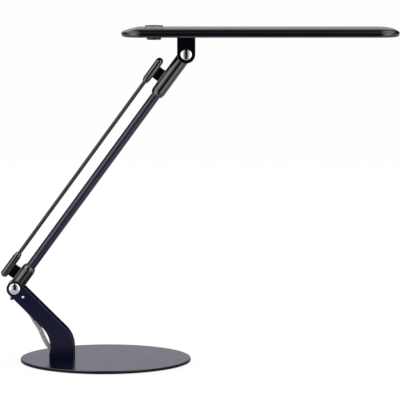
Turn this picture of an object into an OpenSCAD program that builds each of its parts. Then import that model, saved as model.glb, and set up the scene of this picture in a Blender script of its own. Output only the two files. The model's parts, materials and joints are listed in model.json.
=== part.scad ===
// Folding LED desk lamp. A round steel base carries a bent channel stand, a slim tube arm
// with a thin tie rod beside it, and a flat edge-lit LED head with a push switch and a dimmer.
// Frame: millimetres, +Z up, origin at the centre of the base's underside. +X is the way the
// head reaches, and Y runs along both pivot axes.

/* [Base] */
// Diameter of the round base plate
base_d = 200; // [190:1:240]
// Thickness of the steel base plate
plate_t = 3.5; // [3:0.1:8]
// Radius of the plate's rounded rim edges
plate_edge_r = 0.8; // [0.3:0.1:1.2]
// Thickness of the foam pad under the plate
pad_t = 0.7; // [0.5:0.1:2]
// How far the pad lies in from the plate's rim
pad_inset = 4; // [2:0.5:10]

/* [Stand] */
// Distance from the base centre back to the middle of the stand's foot
foot_back = 50.6; // [45:0.1:56]
// Width of the foot, front to back
foot_w = 28; // [27:0.1:34]
// Height of the bend's middle above the plate
foot_rise = 27.1; // [25:0.1:40]
// How far the foot's rear edge flares out at the bottom
foot_flare = 1.4; // [0.5:0.1:3]
// Distance from the bend's middle to the lower pivot
leg_len = 78.6; // [74:0.1:100]
// Slope of the leg below the horizontal
leg_angle = 45; // [42:0.5:48]
// Width of the leg's side walls
leg_w = 19; // [18.6:0.1:24]
// Bend radius of the foot's front and rear edges
bend_r = 33; // [28:0.5:36]
// Sheet thickness of the channel
sheet_t = 2; // [1.5:0.1:2.4]
// Distance from the lower pivot to the end of the channel's spine
spine_start = 16.5; // [16:0.5:24]
// Diameter of the stop pin across the channel
stop_pin_d = 3.7; // [3:0.1:4.5]
// Distance from the lower pivot to the stop pin
stop_pin_at = 13.9; // [13.5:0.1:15]

/* [Arm] */
// Distance between the two pivots
arm_len = 340.5; // [300:0.5:400]
// Slope of the arm above the horizontal at rest
arm_angle = 53.8; // [50:0.1:58]
// Outside diameter of the main tube
tube_d = 11; // [10:0.1:12]
// Wall of the main tube
tube_wall = 1.2; // [0.8:0.1:1.5]
// Diameter of the tie rod
rod_d = 4.5; // [3.5:0.1:5.5]
// Distance between the tube's and the rod's centre lines
rod_gap = 20; // [18:0.5:24]
// Outside diameter of the sleeves on the tube's ends
sleeve_d = 16.1; // [15.5:0.1:17]
// Length of the lower sleeve from its pivot
lower_sleeve_len = 32.2; // [30:0.1:50]
// Length of the upper sleeve from its pivot
upper_sleeve_len = 59.7; // [50:0.1:80]
// Diameter of the rod holders
holder_d = 8.8; // [8:0.1:10]
// Length of a rod holder with its round nose and tapered mouth
holder_len = 34; // [30:0.5:44]
// Distance of the lower rod holder's nose from its pivot
lower_holder_at = 2.3; // [2:0.1:6]
// Distance of the upper rod holder's nose from its pivot
upper_holder_at = 21; // [20:0.1:30]
// Length of the web between a sleeve and its rod holder
web_len = 16.5; // [14:0.5:20]
// Thickness of the web
web_t = 6; // [4:0.5:8]
// Radius of the round knuckle at each end of the arm
knuckle_r = 7.3; // [7.1:0.1:7.8]

/* [Pivots] */
// Diameter of the pivot screws
pivot_d = 8; // [7:0.1:8.4]
// Radial running clearance of a pivot screw in its knuckle
run_gap = 0.05; // [0.02:0.01:0.1]
// Axial play of each knuckle against a washer
side_gap = 0.05; // [0.02:0.01:0.1]
// Diameter of the domed screw heads
cap_d = 14; // [12:0.1:16]
// Thickness of a screw head's straight rim
cap_rim = 0.9; // [0.6:0.1:1.5]
// Height of a screw head's dome above the rim
cap_dome = 1.3; // [0.8:0.1:2]
// Thickness of the nylon friction washers
washer_t = 1; // [0.6:0.1:1.4]
// Diameter of the nylon friction washers
washer_d = 18.6; // [16:0.1:18.6]
// Distance between the walls at both pivots
fork_gap = 20; // [19.6:0.1:22]

/* [Head bracket] */
// Width of the bracket's ears
ear_w = 21.2; // [20.4:0.1:26]
// Thickness of one ear
ear_t = 2.5; // [2:0.1:3.5]
// Height of the head's underside above the upper pivot
head_rise = 20.6; // [19.6:0.1:28]
// Space between the pivot and the underside of the bracket's bridge
bridge_at = 10.4; // [10:0.1:12]

/* [Head] */
// Length of the head
head_l = 322.6; // [300:0.5:400]
// Depth of the head
head_w = 82; // [80:0.5:100]
// Thickness of the head
head_t = 10.4; // [10:0.1:13]
// How far the head reaches back past the upper pivot
head_back = 75.2; // [74:0.1:90]
// Plan radius of the head's corners
head_corner_r = 23.5; // [22:0.1:30]
// Width of the band in which the top curves down to the edge
crown_w = 22; // [16:0.5:22]
// Height of that curve
crown_h = 5.8; // [5:0.1:6]
// Radius of the head's lower edge
lower_edge_r = 3.5; // [2.5:0.1:3.8]
// Slope of the flat ramp cut across the rear end's top
ramp_angle = 14.4; // [10:0.1:16]
// Length of that ramp
ramp_len = 21; // [14:0.5:21]
// Wall of the head's top shell
shell_t = 1.5; // [1.2:0.1:1.6]
// Thickness of the bottom cover
cover_t = 1.5; // [1.2:0.1:1.6]
// How far the cover lies in from the head's edge
cover_inset = 5.5; // [5:0.1:7]
// Gap round the cover
cover_gap = 0.15; // [0.1:0.05:0.3]

/* [Light panel] */
// Distance from the upper pivot to the start of the lit panel
panel_start = 21; // [20.5:0.5:40]
// Distance from the end of the lit panel to the head's front end
panel_margin = 16.4; // [14:0.1:40]
// Depth of the lit panel
panel_w = 63; // [50:0.5:64]
// Width of the diffuser's rim that rests on the cover
panel_rim = 3; // [2:0.1:5]
// Thickness of the diffuser's rim
diffuser_t = 1; // [0.8:0.1:1.2]
// Depth of the window's edge left open below the diffuser
window_step = 0.3; // [0.2:0.1:0.6]
// Thickness of the light guide
guide_t = 3; // [2.5:0.1:3]
// Thickness of the reflector sheet
reflector_t = 0.4; // [0.2:0.1:0.5]
// Thickness of the heat spreader
spreader_t = 0.8; // [0.5:0.1:1]
// Number of LEDs along each side of the panel
led_count = 24; // [12:1:30]
// Length of one LED
led_l = 3.5; // [2.8:0.1:4]
// Height of one LED
led_h = 2.4; // [2:0.1:2.8]
// Thickness of one LED
led_t = 0.8; // [0.6:0.1:1]
// Thickness of an LED strip's board
strip_t = 0.8; // [0.6:0.1:1]

/* [Controls] */
// Distance from the upper pivot back to the switch and dimmer axis
control_back = 37.5; // [36.5:0.1:38.5]
// Diameter of the power button
button_d = 21.5; // [20:0.1:23]
// Height of the button above the head
button_rise = 2.3; // [2:0.1:4]
// Travel of the power button
button_travel = 1; // [0.6:0.1:1]
// Gap round the button in the shell
button_gap = 0.3; // [0.3:0.05:0.5]
// Thickness of the button's dark cap
button_cap_t = 1.1; // [0.8:0.1:1.3]
// Diameter of the dimmer knob
knob_d = 17; // [15:0.1:20]
// Height of the dimmer knob below the head
knob_h = 4; // [3.5:0.1:5]
// Gap between the knob and the head
knob_gap = 0.3; // [0.3:0.05:0.5]
// Diameter of the dimmer's shaft
shaft_d = 6; // [5:0.1:6.4]

/* [Fittings] */
// Width of the flat twin lead
lead_w = 5.4; // [4.6:0.1:5.4]
// Thickness of the flat twin lead
lead_t = 2.7; // [2.4:0.1:2.8]
// Diameter of the wire ways through the knuckles
wire_d = 6; // [5.8:0.1:6.8]
// Diameter of the two screws under the base
foot_screw_d = 5; // [4:0.1:5.4]
// Diameter of the bracket screws
bracket_screw_d = 3; // [2.5:0.1:3.4]
// Diameter of the cover screws
cover_screw_d = 2.4; // [2:0.1:2.8]

/* [Hidden] */
$fn = 96;

// Finishes
navy_black = "#1c1c28";
deep_black = "#0d0d12";
steel = "#b9bcc0";
chrome = "#d9dbde";
nylon = "#dcdcd6";
brass = "#c9a24a";
board_green = "#1f5b3a";
opal = "#f2f2ee";
clear = "#dfe9ee";

// Base
base_top = pad_t + plate_t;

// Stand: the side outline lies in the X-Z plane. The leg's centre line meets the foot's at
// the bend point, and the front and rear edges are both rounded there.
foot_x = -foot_back;
bend_z = base_top + foot_rise;
leg_dir = [cos(leg_angle), -sin(leg_angle)];
leg_normal = [sin(leg_angle), cos(leg_angle)];
pivot_xz = [foot_x, bend_z] - leg_len * leg_dir;
turn = 90 - leg_angle;
bend_steps = 10;
end_steps = 24;
flare_low = 6;
flare_high = 12;
fork_half = fork_gap / 2;
stand_half = fork_half + sheet_t;
front_inner_x = foot_x + foot_w / 2 - sheet_t;
tab_l = foot_w - sheet_t - 2;
tab_bite = sheet_t / 4;

// Foot block with the inlet and the lead's grommet side by side in its rear face
block_l = 18.5;
block_h = 13;
block_x = front_inner_x - block_l;
block_z = base_top + sheet_t;
inlet_z = block_z + 6;
jack_y = 5.2;
jack_r = 4.25;
jack_l = 11;
jack_mouth_r = 3.1;
jack_mouth_l = 9.5;
jack_pin_r = 1.05;
grommet_y = -3.5;
grommet_l = 6;
grommet_lip = 1.2;
grommet_wall = 1;
lead_slack = 0.25;
foot_screw_x = front_inner_x - 4;
foot_screw_y = 5.5;
foot_screw_head_r = foot_screw_d * 0.92;
foot_screw_reach = 7;

// Pivots
pivot_r = pivot_d / 2;
knuckle_w = fork_gap - 2 * (washer_t + side_gap);
bearing_end = wire_d / 2 + 1;
screw_end = bearing_end + 0.3;
dome_steps = 8;

// Arm, in its own frame: X runs from the lower pivot to the upper, Z points at the tie rod
tube_r = tube_d / 2;
sleeve_r = sleeve_d / 2;
rod_r = rod_d / 2;
holder_r = holder_d / 2;
tube_seat = 12;
sleeve_chamfer = 1.5;
sleeve_root = 3;
sleeve_root_r = knuckle_r - 0.4;
holder_taper = 5;
rod_grip = 20;
web_from_nose = 6;
web_flare = 1.6;
set_screw_r = 2;
set_screw_from_mouth = 9;
lower_exit_angle = 230;
upper_exit_angle = 144;
wire_r = wire_d / 2;

// Stop lug on the lower knuckle, with the peg that meets the stop pin when the arm leans back
lug_w = 4.9;
lug_y = knuckle_w / 2 - 0.3 - lug_w / 2;
lug_reach = 12.05;
lug_half = 2.45;
lug_root = 6.6;
lug_back = 7.1;
peg_r = 2;
peg_angle = 198;
peg_root = 7;
peg_tip = 14.4;

// Head, in its own frame: the origin is the upper pivot and heights start at the underside
crown_base = head_t - crown_h;
shell_floor = cover_t;
cavity_top = head_t - shell_t;
edge_steps = 4;
crown_steps = 8;
cover_l = head_l - 2 * cover_inset;
cover_w = head_w - 2 * cover_inset;
cover_r = head_corner_r - cover_inset;
wire_hole_r = wire_r + 0.6;
mount_plate_t = 1.5;
mount_plate_l = 24;
mount_plate_w = 68;
mount_top = cover_t + mount_plate_t;
bracket_screw_x = 6.8;
bracket_screw_y = 8.4;
bracket_screw_reach = 6;
boss_r = 3;
cover_screw_r = cover_screw_d / 2;
cover_screw_l = 6.5;
screw_head_h = 1.1;
window_gap = 0.2;

// Cover screws: a pair behind the controls, a pair through the mount plate, and a pair halfway
// between the panel's end and the cover's
panel_l = head_l - head_back - panel_start - panel_margin;
rear_screw_x = -head_back + 13;
end_screw_x = panel_start + panel_l + (panel_margin - cover_inset) / 2;
screw_y = 14;
plate_screw_y = mount_plate_w / 2 - 4;
cover_screw_at = [
    for (side = [-1, 1]) each [[rear_screw_x, side * screw_y, 0],
        [0, side * plate_screw_y, mount_plate_t], [end_screw_x, side * screw_y, 0]],
];

// Light panel stack, from the cover up
guide_z = cover_t + diffuser_t;
reflector_z = guide_z + guide_t;
spreader_z = reflector_z + reflector_t;
stack_top = spreader_z + spreader_t;
led_gap = 0.2;
strip_y = panel_w / 2 + led_gap + led_t;
strip_h = guide_t + diffuser_t + 0.6;
led_end = 5;
led_pitch = (panel_l - 2 * led_end) / (led_count - 1);
rib_count = 3;
rib_t = 1.4;
rib_w = 44;

// Controls, above and below the driver board
control_x = -control_back;
board_z = 4;
board_t = 1.2;
board_from_end = 17;
board_from_plate = 4;
board_x = board_from_end - head_back;
board_l = -board_x - mount_plate_l / 2 - board_from_plate;
board_w = 46;
board_top = board_z + board_t;
post_r = 2.4;
board_screw_r = 1;
board_screw_in = 3.5;
board_side = board_w / 2 - board_screw_in;
board_screw_at = [for (x = [board_screw_in, board_l - board_screw_in], side = [-1, 1])
    [board_x + x, side * board_side]];
board_parts_in = 3;
chip = [7, 4, 1.2];
chip_x = 5;
coil_r = 2.5;
coil_h = 1.9;
coil_x = 16;
dimmer_body_w = 12;
dimmer_body_h = board_z - cover_t - 0.4;
dimmer_body_z = board_z - dimmer_body_h;
shaft_r = shaft_d / 2;
shaft_grip = 2.4;
switch_w = 6;
switch_h = 1.6;
plunger_r = 1.7;
plunger_top = cavity_top - 0.7;
plunger_rest = 0.3;
plunger_l = plunger_top - board_top - button_travel - plunger_rest;
button_r = button_d / 2;
button_top = head_t + button_rise;
cap_base = button_top - button_cap_t;
flange_r = button_r + 1.6;
flange_t = 1;
flange_top = cavity_top - 0.2;
skirt_wall = 1.6;
button_post_r = 3;
knob_r = knob_d / 2;
connector_l = 7;
connector_w = 8;
connector_h = 3.1;
connector_x = board_x + board_l - connector_l;
flex_t = 0.3;
flex_w = 5;
flex_overlap = 4;
flex_y = board_side - 2 * board_screw_r - 0.5 - flex_w;

// Twin lead: the points its centre line follows, with the twist of its flat side at each
lead_sides = 12;
stand_route = [
    [-104.4, 0, 79.5, 90], [-103.8, 0, 77, 90], [-103, 0, 74.5, 90], [-101, -0.5, 71.5, 84],
    [-98, -1, 68, 72], [-94.5, -1.5, 63.5, 55], [-90, -2, 58.5, 38], [-86, -2.5, 53, 20],
    [-82.5, -3, 47, 8], [-79, -3, 41.5, 0], [-76, -3.5, 36, 0], [-73.5, -3.5, 30, 0],
    [-70.5, -3.5, 24, 0], [-67.5, -3.5, 19, 0], [-64, -3.5, 15, 0], [-60.5, -3.5, 12.8, 0],
    [-58, -3.5, 12.2, 0], [-53, -3.5, 12.2, 0],
];
head_route = [
    [0, 0, 7.6, 90], [0, 0, 14, 90], [0, 0, 19, 90], [-0.3, 0, 22, 90], [-1.4, 0, 24.6, 90],
    [-3.4, 0, 26.5, 90], [-6, 0, 27.3, 90], [-9, 0, 27.5, 90], [-16, 0, 27.5, 90],
];

// Points on an arc about c from angle a0 to a1, in steps
function arc(c, r, a0, a1, steps) =
    [for (i = [0:steps]) c + r * [cos(a0 + (a1 - a0) * i / steps), sin(a0 + (a1 - a0) * i / steps)]];

// The stand's front edge, from beyond the pivot to the foot, laid in by a wall thickness
function front_edge(inset) =
    let (w = leg_w / 2 - inset, f = foot_w / 2 - inset, r = bend_r - inset,
         corner_z = bend_z + (w - f * sin(leg_angle)) / cos(leg_angle),
         c = [foot_x + f - r, corner_z - r * tan(turn / 2)])
    concat(arc(c, r, turn, 0, bend_steps), [[foot_x + f, base_top]]);

// The stand's rear edge, from the flared foot up to the leg
function rear_edge() =
    let (w = leg_w / 2, f = foot_w / 2,
         corner_z = bend_z + (f * sin(leg_angle) - w) / cos(leg_angle),
         c = [foot_x - f - bend_r, corner_z - bend_r * tan(turn / 2)])
    concat([[foot_x - f - foot_flare, base_top], [foot_x - f - foot_flare, base_top + flare_low],
            [foot_x - f, base_top + flare_high]],
           arc(c, bend_r, 0, turn, bend_steps));

// Half section of the head's edge: radius outward from a corner's centre against height
function edge_section(inset, low, high, lower_r, crown_r, crown_z) =
    let (r = head_corner_r - inset)
    concat([[0, low]], arc([r - lower_r, low + lower_r], lower_r, -90, 0, edge_steps),
           [for (i = [0:crown_steps])
               [r - crown_r * (1 - cos(90 * i / crown_steps)),
                crown_z + (high - crown_z) * sin(90 * i / crown_steps)]],
           [[0, high]]);

// One ring of the lead: an oval across the way the route runs
function lead_ring(p, ahead, behind) =
    let (d = [ahead[0] - behind[0], ahead[2] - behind[2]], n = [-d[1], d[0]] / norm(d), tw = p[3])
    [for (k = [0:lead_sides - 1])
        let (u = lead_w / 2 * cos(360 * k / lead_sides), v = lead_t / 2 * sin(360 * k / lead_sides),
             a = u * cos(tw) - v * sin(tw), b = u * sin(tw) + v * cos(tw))
        [p[0] + n[0] * a, p[1] + b, p[2] + n[1] * a]];

// Places children in the arm's frame
module at_arm() { translate([pivot_xz[0], 0, pivot_xz[1]]) rotate([0, -arm_angle, 0]) children(); }

// Places children in the arm's frame seen from its upper end
module at_arm_top() { at_arm() translate([arm_len, 0, 0]) mirror([1, 0, 0]) children(); }

// Places children in the leg's frame: X runs down the leg from the lower pivot
module at_leg() { translate([pivot_xz[0], 0, pivot_xz[1]]) rotate([0, leg_angle, 0]) children(); }

// Places children at the upper pivot, level
module at_upper_pivot() {
    translate([pivot_xz[0] + arm_len * cos(arm_angle), 0, pivot_xz[1] + arm_len * sin(arm_angle)])
        children();
}

// Places children in the head's frame, at the underside's height
module at_head() { at_upper_pivot() translate([0, 0, head_rise]) children(); }

// Turns a flat X-Z outline into a bar of the given width, centred on Y = 0
module across(width) { rotate([90, 0, 0]) linear_extrude(height = width, center = true) children(); }

// A round bar along X
module bar_x(r, l) { rotate([0, 90, 0]) cylinder(r = r, h = l); }

// Space inside the channel: everything behind the spine, and all of the pivot's end
module channel_space(width) {
    spine_end = pivot_xz + spine_start * leg_dir;
    over_spine = spine_end + 2 * leg_w * leg_normal;
    rear_x = pivot_xz[0] - 2 * leg_w;
    top_z = over_spine[1] + 2 * leg_w;
    across(width) polygon(concat([over_spine, spine_end + (leg_w / 2 - sheet_t) * leg_normal],
        front_edge(sheet_t), [[front_inner_x, base_top - 1], [rear_x, base_top - 1],
        [rear_x, top_z], [over_spine[0], top_z]]));
}

module base_plate() {
    r = base_d / 2;
    color(navy_black) difference() {
        translate([0, 0, pad_t]) rotate_extrude() polygon(concat([[0, 0]],
            arc([r - plate_edge_r, plate_edge_r], plate_edge_r, -90, 0, 3),
            arc([r - plate_edge_r, plate_t - plate_edge_r], plate_edge_r, 0, 90, 3), [[0, plate_t]]));
        foot_screw_shapes();
    }
}

module base_pad() { color("#2b2b2e") cylinder(r = base_d / 2 - pad_inset, h = pad_t); }

// Both foot screws: a countersunk head flush with the plate's underside, and the shank
module foot_screw_shapes() {
    for (side = [-1, 1]) translate([foot_screw_x, side * foot_screw_y, pad_t]) {
        cylinder(r1 = foot_screw_head_r, r2 = foot_screw_d / 2, h = plate_t * 0.7);
        cylinder(r = foot_screw_d / 2, h = plate_t + sheet_t + foot_screw_reach);
    }
}

// A hexagon socket is sunk in each head
module foot_screws() {
    color(steel) difference() {
        foot_screw_shapes();
        for (side = [-1, 1]) translate([foot_screw_x, side * foot_screw_y, pad_t - 1])
            cylinder(r = foot_screw_d * 0.3, h = 2.6, $fn = 6);
    }
}

// Bent channel: two side walls joined by a spine along the front, open to the rear
module stand() {
    round_end = arc(pivot_xz, leg_w / 2, 270 - leg_angle, 90 - leg_angle, end_steps);
    color(navy_black) difference() {
        union() {
            difference() {
                across(2 * stand_half) polygon(concat(front_edge(0), rear_edge(), round_end));
                channel_space(fork_gap);
            }
            translate([front_inner_x - tab_l, -fork_half - tab_bite, base_top])
                cube([tab_l + tab_bite, fork_gap + 2 * tab_bite, sheet_t]);
        }
        at_leg() rotate([90, 0, 0]) cylinder(r = pivot_r, h = 4 * stand_half, center = true);
        at_leg() translate([stop_pin_at, 0, 0]) rotate([90, 0, 0])
            cylinder(r = stop_pin_d / 2, h = 4 * stand_half, center = true);
        foot_screw_shapes();
    }
}

module foot_block() {
    color("#3a3b40") difference() {
        intersection() {
            translate([block_x, -fork_half, block_z]) cube([block_l + sheet_t, fork_gap, block_h]);
            channel_space(fork_gap);
        }
        translate([block_x, jack_y, inlet_z]) translate([-1, 0, 0]) bar_x(jack_r, jack_l + 1);
        translate([block_x - 1, grommet_y, inlet_z]) oval_bar(grommet_wall + lead_slack, grommet_l - grommet_lip + 1);
        foot_screw_shapes();
    }
}

// A bar along X whose section is the lead's, made larger all round
module oval_bar(extra, l) {
    r = lead_t / 2 + extra;
    for (side = [-1, 1]) translate([0, 0, side * (lead_w - lead_t) / 2]) bar_x(r, l);
    translate([0, -r, -(lead_w - lead_t) / 2]) cube([l, 2 * r, lead_w - lead_t]);
}

module dc_jack() {
    color(deep_black) translate([block_x, jack_y, inlet_z]) difference() {
        bar_x(jack_r, jack_l);
        translate([-1, 0, 0]) bar_x(jack_mouth_r, jack_mouth_l + 1);
    }
}

module jack_pin() {
    color(brass) translate([block_x, jack_y, inlet_z]) {
        translate([1, 0, 0]) bar_x(jack_pin_r, jack_mouth_l - 1);
        translate([1, 0, 0]) sphere(r = jack_pin_r);
    }
}

module lead_grommet() {
    color(deep_black) translate([block_x - grommet_lip, grommet_y, inlet_z]) difference() {
        oval_bar(grommet_wall + lead_slack, grommet_l);
        translate([-1, 0, 0]) oval_bar(lead_slack, grommet_l + 2);
    }
}

// Sweeps the twin lead's oval section along a route
module twin_lead(route) {
    last = len(route) - 1;
    rings = [for (i = [0:last]) each lead_ring(route[i], route[min(i + 1, last)], route[max(i - 1, 0)])];
    caps = [[for (k = [0:lead_sides - 1]) k],
            [for (k = [0:lead_sides - 1]) last * lead_sides + lead_sides - 1 - k]];
    walls = [for (i = [0:last - 1], k = [0:lead_sides - 1], h = [0:1])
        let (a = i * lead_sides + k, b = i * lead_sides + (k + 1) % lead_sides)
        h == 0 ? [a, a + lead_sides, b] : [b, a + lead_sides, b + lead_sides]];
    polyhedron(points = rings, faces = concat(caps, walls));
}

module stand_lead() { color(clear) twin_lead(stand_route); }

module stop_pin() {
    length = 2 * stand_half + 0.5;
    color(chrome) at_leg() translate([stop_pin_at, 0, 0]) rotate([90, 0, 0])
        cylinder(r = stop_pin_d / 2, h = length, center = true);
}

// A domed pivot screw: its head lies on the outer wall, its shank reaches into the knuckle
module pivot_screw(outer_wall) {
    dome_r = (pow(cap_d / 2, 2) + pow(cap_dome, 2)) / (2 * cap_dome);
    dome_top = cap_rim + cap_dome;
    translate([0, 0, screw_end]) cylinder(r = pivot_r, h = outer_wall - screw_end);
    translate([0, 0, outer_wall]) rotate_extrude() polygon(concat([[0, 0], [cap_d / 2, 0]],
        arc([0, dome_top - dome_r], dome_r, 90 - asin(cap_d / 2 / dome_r), 90, dome_steps)));
}

module pivot_screws(outer_wall) {
    for (turned = [90, -90]) rotate([turned, 0, 0]) pivot_screw(outer_wall);
}

module lower_pivot_screws() { color(chrome) at_leg() pivot_screws(stand_half); }

// Nylon washers lie against the inside of the fork's walls
module washer_pair() {
    for (side = [-1, 1]) translate([0, side * (fork_half - washer_t / 2), 0]) rotate([90, 0, 0])
        difference() {
            cylinder(r = washer_d / 2, h = washer_t, center = true);
            cylinder(r = pivot_r + run_gap, h = washer_t + 1, center = true);
        }
}

module lower_washers() { color(nylon) at_leg() washer_pair(); }

// Rod holder: round nose at the pivot's side, tapered mouth where the rod enters
module rod_holder(nose) {
    translate([nose + holder_r, 0, 0]) sphere(r = holder_r);
    translate([nose + holder_r, 0, 0]) bar_x(holder_r, holder_len - holder_r - holder_taper);
    translate([nose + holder_len - holder_taper, 0, 0]) rotate([0, 90, 0])
        cylinder(r1 = holder_r, r2 = (holder_r + rod_r) / 2, h = holder_taper);
}

// One moulding at each end of the arm: knuckle, sleeve, web and rod holder
module arm_fitting(sleeve_len, nose, exit_angle) {
    web_from = nose + web_from_nose;
    web_to = web_from + web_len;
    web_low = sleeve_r - 1;
    difference() {
        union() {
            rotate([90, 0, 0]) cylinder(r = knuckle_r, h = knuckle_w, center = true);
            rotate([0, 90, 0]) cylinder(r1 = sleeve_root_r, r2 = sleeve_r, h = sleeve_root);
            translate([sleeve_root, 0, 0]) bar_x(sleeve_r, sleeve_len - sleeve_chamfer - sleeve_root);
            translate([sleeve_len - sleeve_chamfer, 0, 0]) rotate([0, 90, 0])
                cylinder(r1 = sleeve_r, r2 = sleeve_r - sleeve_chamfer, h = sleeve_chamfer);
            across(web_t) polygon([[web_from, 0], [web_from - web_flare, web_low],
                [web_from, web_low + 2 * web_flare], [web_from, rod_gap], [web_to, rod_gap],
                [web_to, web_low + 2 * web_flare], [web_to + web_flare, web_low], [web_to, 0]]);
            translate([0, 0, rod_gap]) rod_holder(nose);
        }
        translate([tube_seat, 0, 0]) bar_x(tube_r, sleeve_len);
        bar_x(wire_r, tube_seat + 1);
        rotate([0, -exit_angle, 0]) bar_x(wire_r, 2 * knuckle_r);
        sphere(r = wire_r);
        for (turned = [90, -90]) rotate([turned, 0, 0]) translate([0, 0, bearing_end])
            cylinder(r = pivot_r + run_gap, h = knuckle_w);
        translate([nose + holder_len - rod_grip, 0, rod_gap]) bar_x(rod_r, rod_grip + 1);
        translate([sleeve_len - set_screw_from_mouth, 0, 0]) rotate([-90, 0, 0])
            cylinder(r = set_screw_r, h = sleeve_r + 1);
    }
}

// The lower fitting also has a lug beside the wire way, which carries the stop peg
module lower_fitting() {
    color(deep_black) at_arm() difference() {
        union() {
            arm_fitting(lower_sleeve_len, lower_holder_at, lower_exit_angle);
            translate([0, lug_y, 0]) across(lug_w) rotate(peg_angle) difference() {
                polygon([[0, lug_root], [lug_reach, lug_half], [lug_reach, -lug_half],
                    [lug_reach - 3 * lug_half, -lug_back], [0, -lug_back]]);
                circle(r = bearing_end + peg_r);
            }
        }
        stop_peg_shape();
    }
}

module stop_peg_shape() {
    rotate([0, -peg_angle, 0]) translate([peg_root, lug_y, 0]) {
        bar_x(peg_r, peg_tip - peg_root);
        translate([peg_tip - peg_root, 0, 0]) sphere(r = peg_r);
    }
}

module stop_peg() { color(deep_black) at_arm() stop_peg_shape(); }

module upper_fitting() {
    color(deep_black) at_arm_top() arm_fitting(upper_sleeve_len, upper_holder_at, upper_exit_angle);
}

module main_tube() {
    color(navy_black) at_arm() translate([tube_seat, 0, 0]) difference() {
        bar_x(tube_r, arm_len - 2 * tube_seat);
        translate([-1, 0, 0]) bar_x(tube_r - tube_wall, arm_len - 2 * tube_seat + 2);
    }
}

module set_screw(sleeve_len) {
    translate([sleeve_len - set_screw_from_mouth, tube_r, 0]) rotate([-90, 0, 0]) difference() {
        cylinder(r = set_screw_r, h = sleeve_r - tube_r - 0.3);
        translate([0, 0, 1]) cylinder(r = set_screw_r * 0.5, h = sleeve_r, $fn = 6);
    }
}

module tube_set_screws() {
    color(steel) {
        at_arm() set_screw(lower_sleeve_len);
        at_arm_top() set_screw(upper_sleeve_len);
    }
}

module tie_rod() {
    start = lower_holder_at + holder_len - rod_grip;
    finish = arm_len - (upper_holder_at + holder_len - rod_grip);
    color(navy_black) at_arm() translate([start, 0, rod_gap]) bar_x(rod_r, finish - start);
}

// The lead inside the arm: from the lower knuckle's wire way to the upper one's
module arm_lead() {
    low = [cos(lower_exit_angle), sin(lower_exit_angle)];
    high = [-cos(upper_exit_angle), sin(upper_exit_angle)];
    route = concat(
        [for (d = [knuckle_r, 4]) [d * low[0], 0, d * low[1], 90]], [[-0.6, 0, -0.9, 90], [3, 0, -0.3, 90]],
        [for (i = [0:12]) [tube_seat + (arm_len - 2 * tube_seat) * i / 12, 0, 0, 90]],
        [[arm_len - 3, 0, 0.2, 90], [arm_len + 0.4, 0, 0.8, 90]],
        [for (d = [4, knuckle_r]) [arm_len + d * high[0], 0, d * high[1], 90]]);
    color(clear) at_arm() twin_lead(route);
}

// Clevis under the head: two ears, a bridge between them and a wire hole up through it
module head_bracket() {
    half = fork_half + ear_t;
    color(deep_black) at_upper_pivot() difference() {
        union() {
            across(2 * half) translate([-ear_w / 2, 0]) square([ear_w, head_rise]);
            rotate([90, 0, 0]) cylinder(r = ear_w / 2, h = 2 * half, center = true);
        }
        translate([-ear_w, -fork_half, -ear_w]) cube([2 * ear_w, fork_gap, ear_w + bridge_at]);
        cylinder(r = wire_hole_r, h = 2 * head_rise);
        rotate([90, 0, 0]) cylinder(r = pivot_r, h = 4 * half, center = true);
        translate([0, 0, head_rise]) bracket_screw_shafts();
    }
}

module upper_pivot_screws() { color(chrome) at_upper_pivot() pivot_screws(fork_half + ear_t); }

module upper_washers() { color(nylon) at_upper_pivot() washer_pair(); }

// The four bracket screws' shanks, from the mount plate's top down into the bracket
module bracket_screw_shafts() {
    for (sx = [-1, 1], sy = [-1, 1])
        translate([sx * bracket_screw_x, sy * bracket_screw_y, -bracket_screw_reach])
            cylinder(r = bracket_screw_d / 2, h = bracket_screw_reach + mount_top);
}

module bracket_screws() {
    color(steel) at_head() {
        bracket_screw_shafts();
        for (sx = [-1, 1], sy = [-1, 1])
            translate([sx * bracket_screw_x, sy * bracket_screw_y, mount_top]) difference() {
                cylinder(r = bracket_screw_d * 0.9, h = 1.6);
                translate([0, 0, 0.6]) cylinder(r = bracket_screw_d * 0.4, h = 2, $fn = 6);
            }
    }
}

module mount_plate() {
    color(steel) at_head() difference() {
        translate([-mount_plate_l / 2, -mount_plate_w / 2, cover_t])
            cube([mount_plate_l, mount_plate_w, mount_plate_t]);
        cylinder(r = wire_hole_r, h = 20);
        bracket_screw_shafts();
        cover_screw_shafts(0);
    }
}

// A slab with the head's plan: swept corners, extruded edges and a flat middle. The section
// runs outward from a corner's centre, and is the same all the way round.
module head_slab(section) {
    l = head_l - 2 * head_corner_r;
    w = head_w - 2 * head_corner_r;
    low = min([for (p = section) p[1]]);
    high = max([for (p = section) p[1]]);
    translate([head_l / 2 - head_back, 0, 0]) {
        translate([-l / 2, -w / 2, low]) cube([l, w, high - low]);
        for (turned = [0, 1]) mirror([0, turned, 0]) translate([-l / 2, w / 2, 0])
            rotate([90, 0, 90]) linear_extrude(height = l) polygon(section);
        for (turned = [0, 1]) mirror([turned, 0, 0]) {
            translate([l / 2, w / 2, 0]) rotate([90, 0, 0]) linear_extrude(height = w) polygon(section);
            for (side = [0, 1]) mirror([0, side, 0]) translate([l / 2, w / 2, 0])
                rotate_extrude(angle = 90) polygon(section);
        }
    }
}

module outer_slab() {
    head_slab(edge_section(0, 0, head_t, lower_edge_r, crown_w, crown_base));
}

// The shell's hollow, closed under the crown and open where the cover goes
module inner_slab() {
    head_slab(edge_section(shell_t, shell_floor, cavity_top, 0.4, crown_w - shell_t, crown_base));
}

// The plane that ramps the rear end's top down, moved down by depth for the inside
module ramp_cut(depth) {
    translate([-head_back + ramp_len, 0, head_t - depth]) rotate([0, -ramp_angle, 0])
        translate([-2 * head_back, -head_w, 0]) cube([2 * head_back, 2 * head_w, 2 * head_back]);
}

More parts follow.
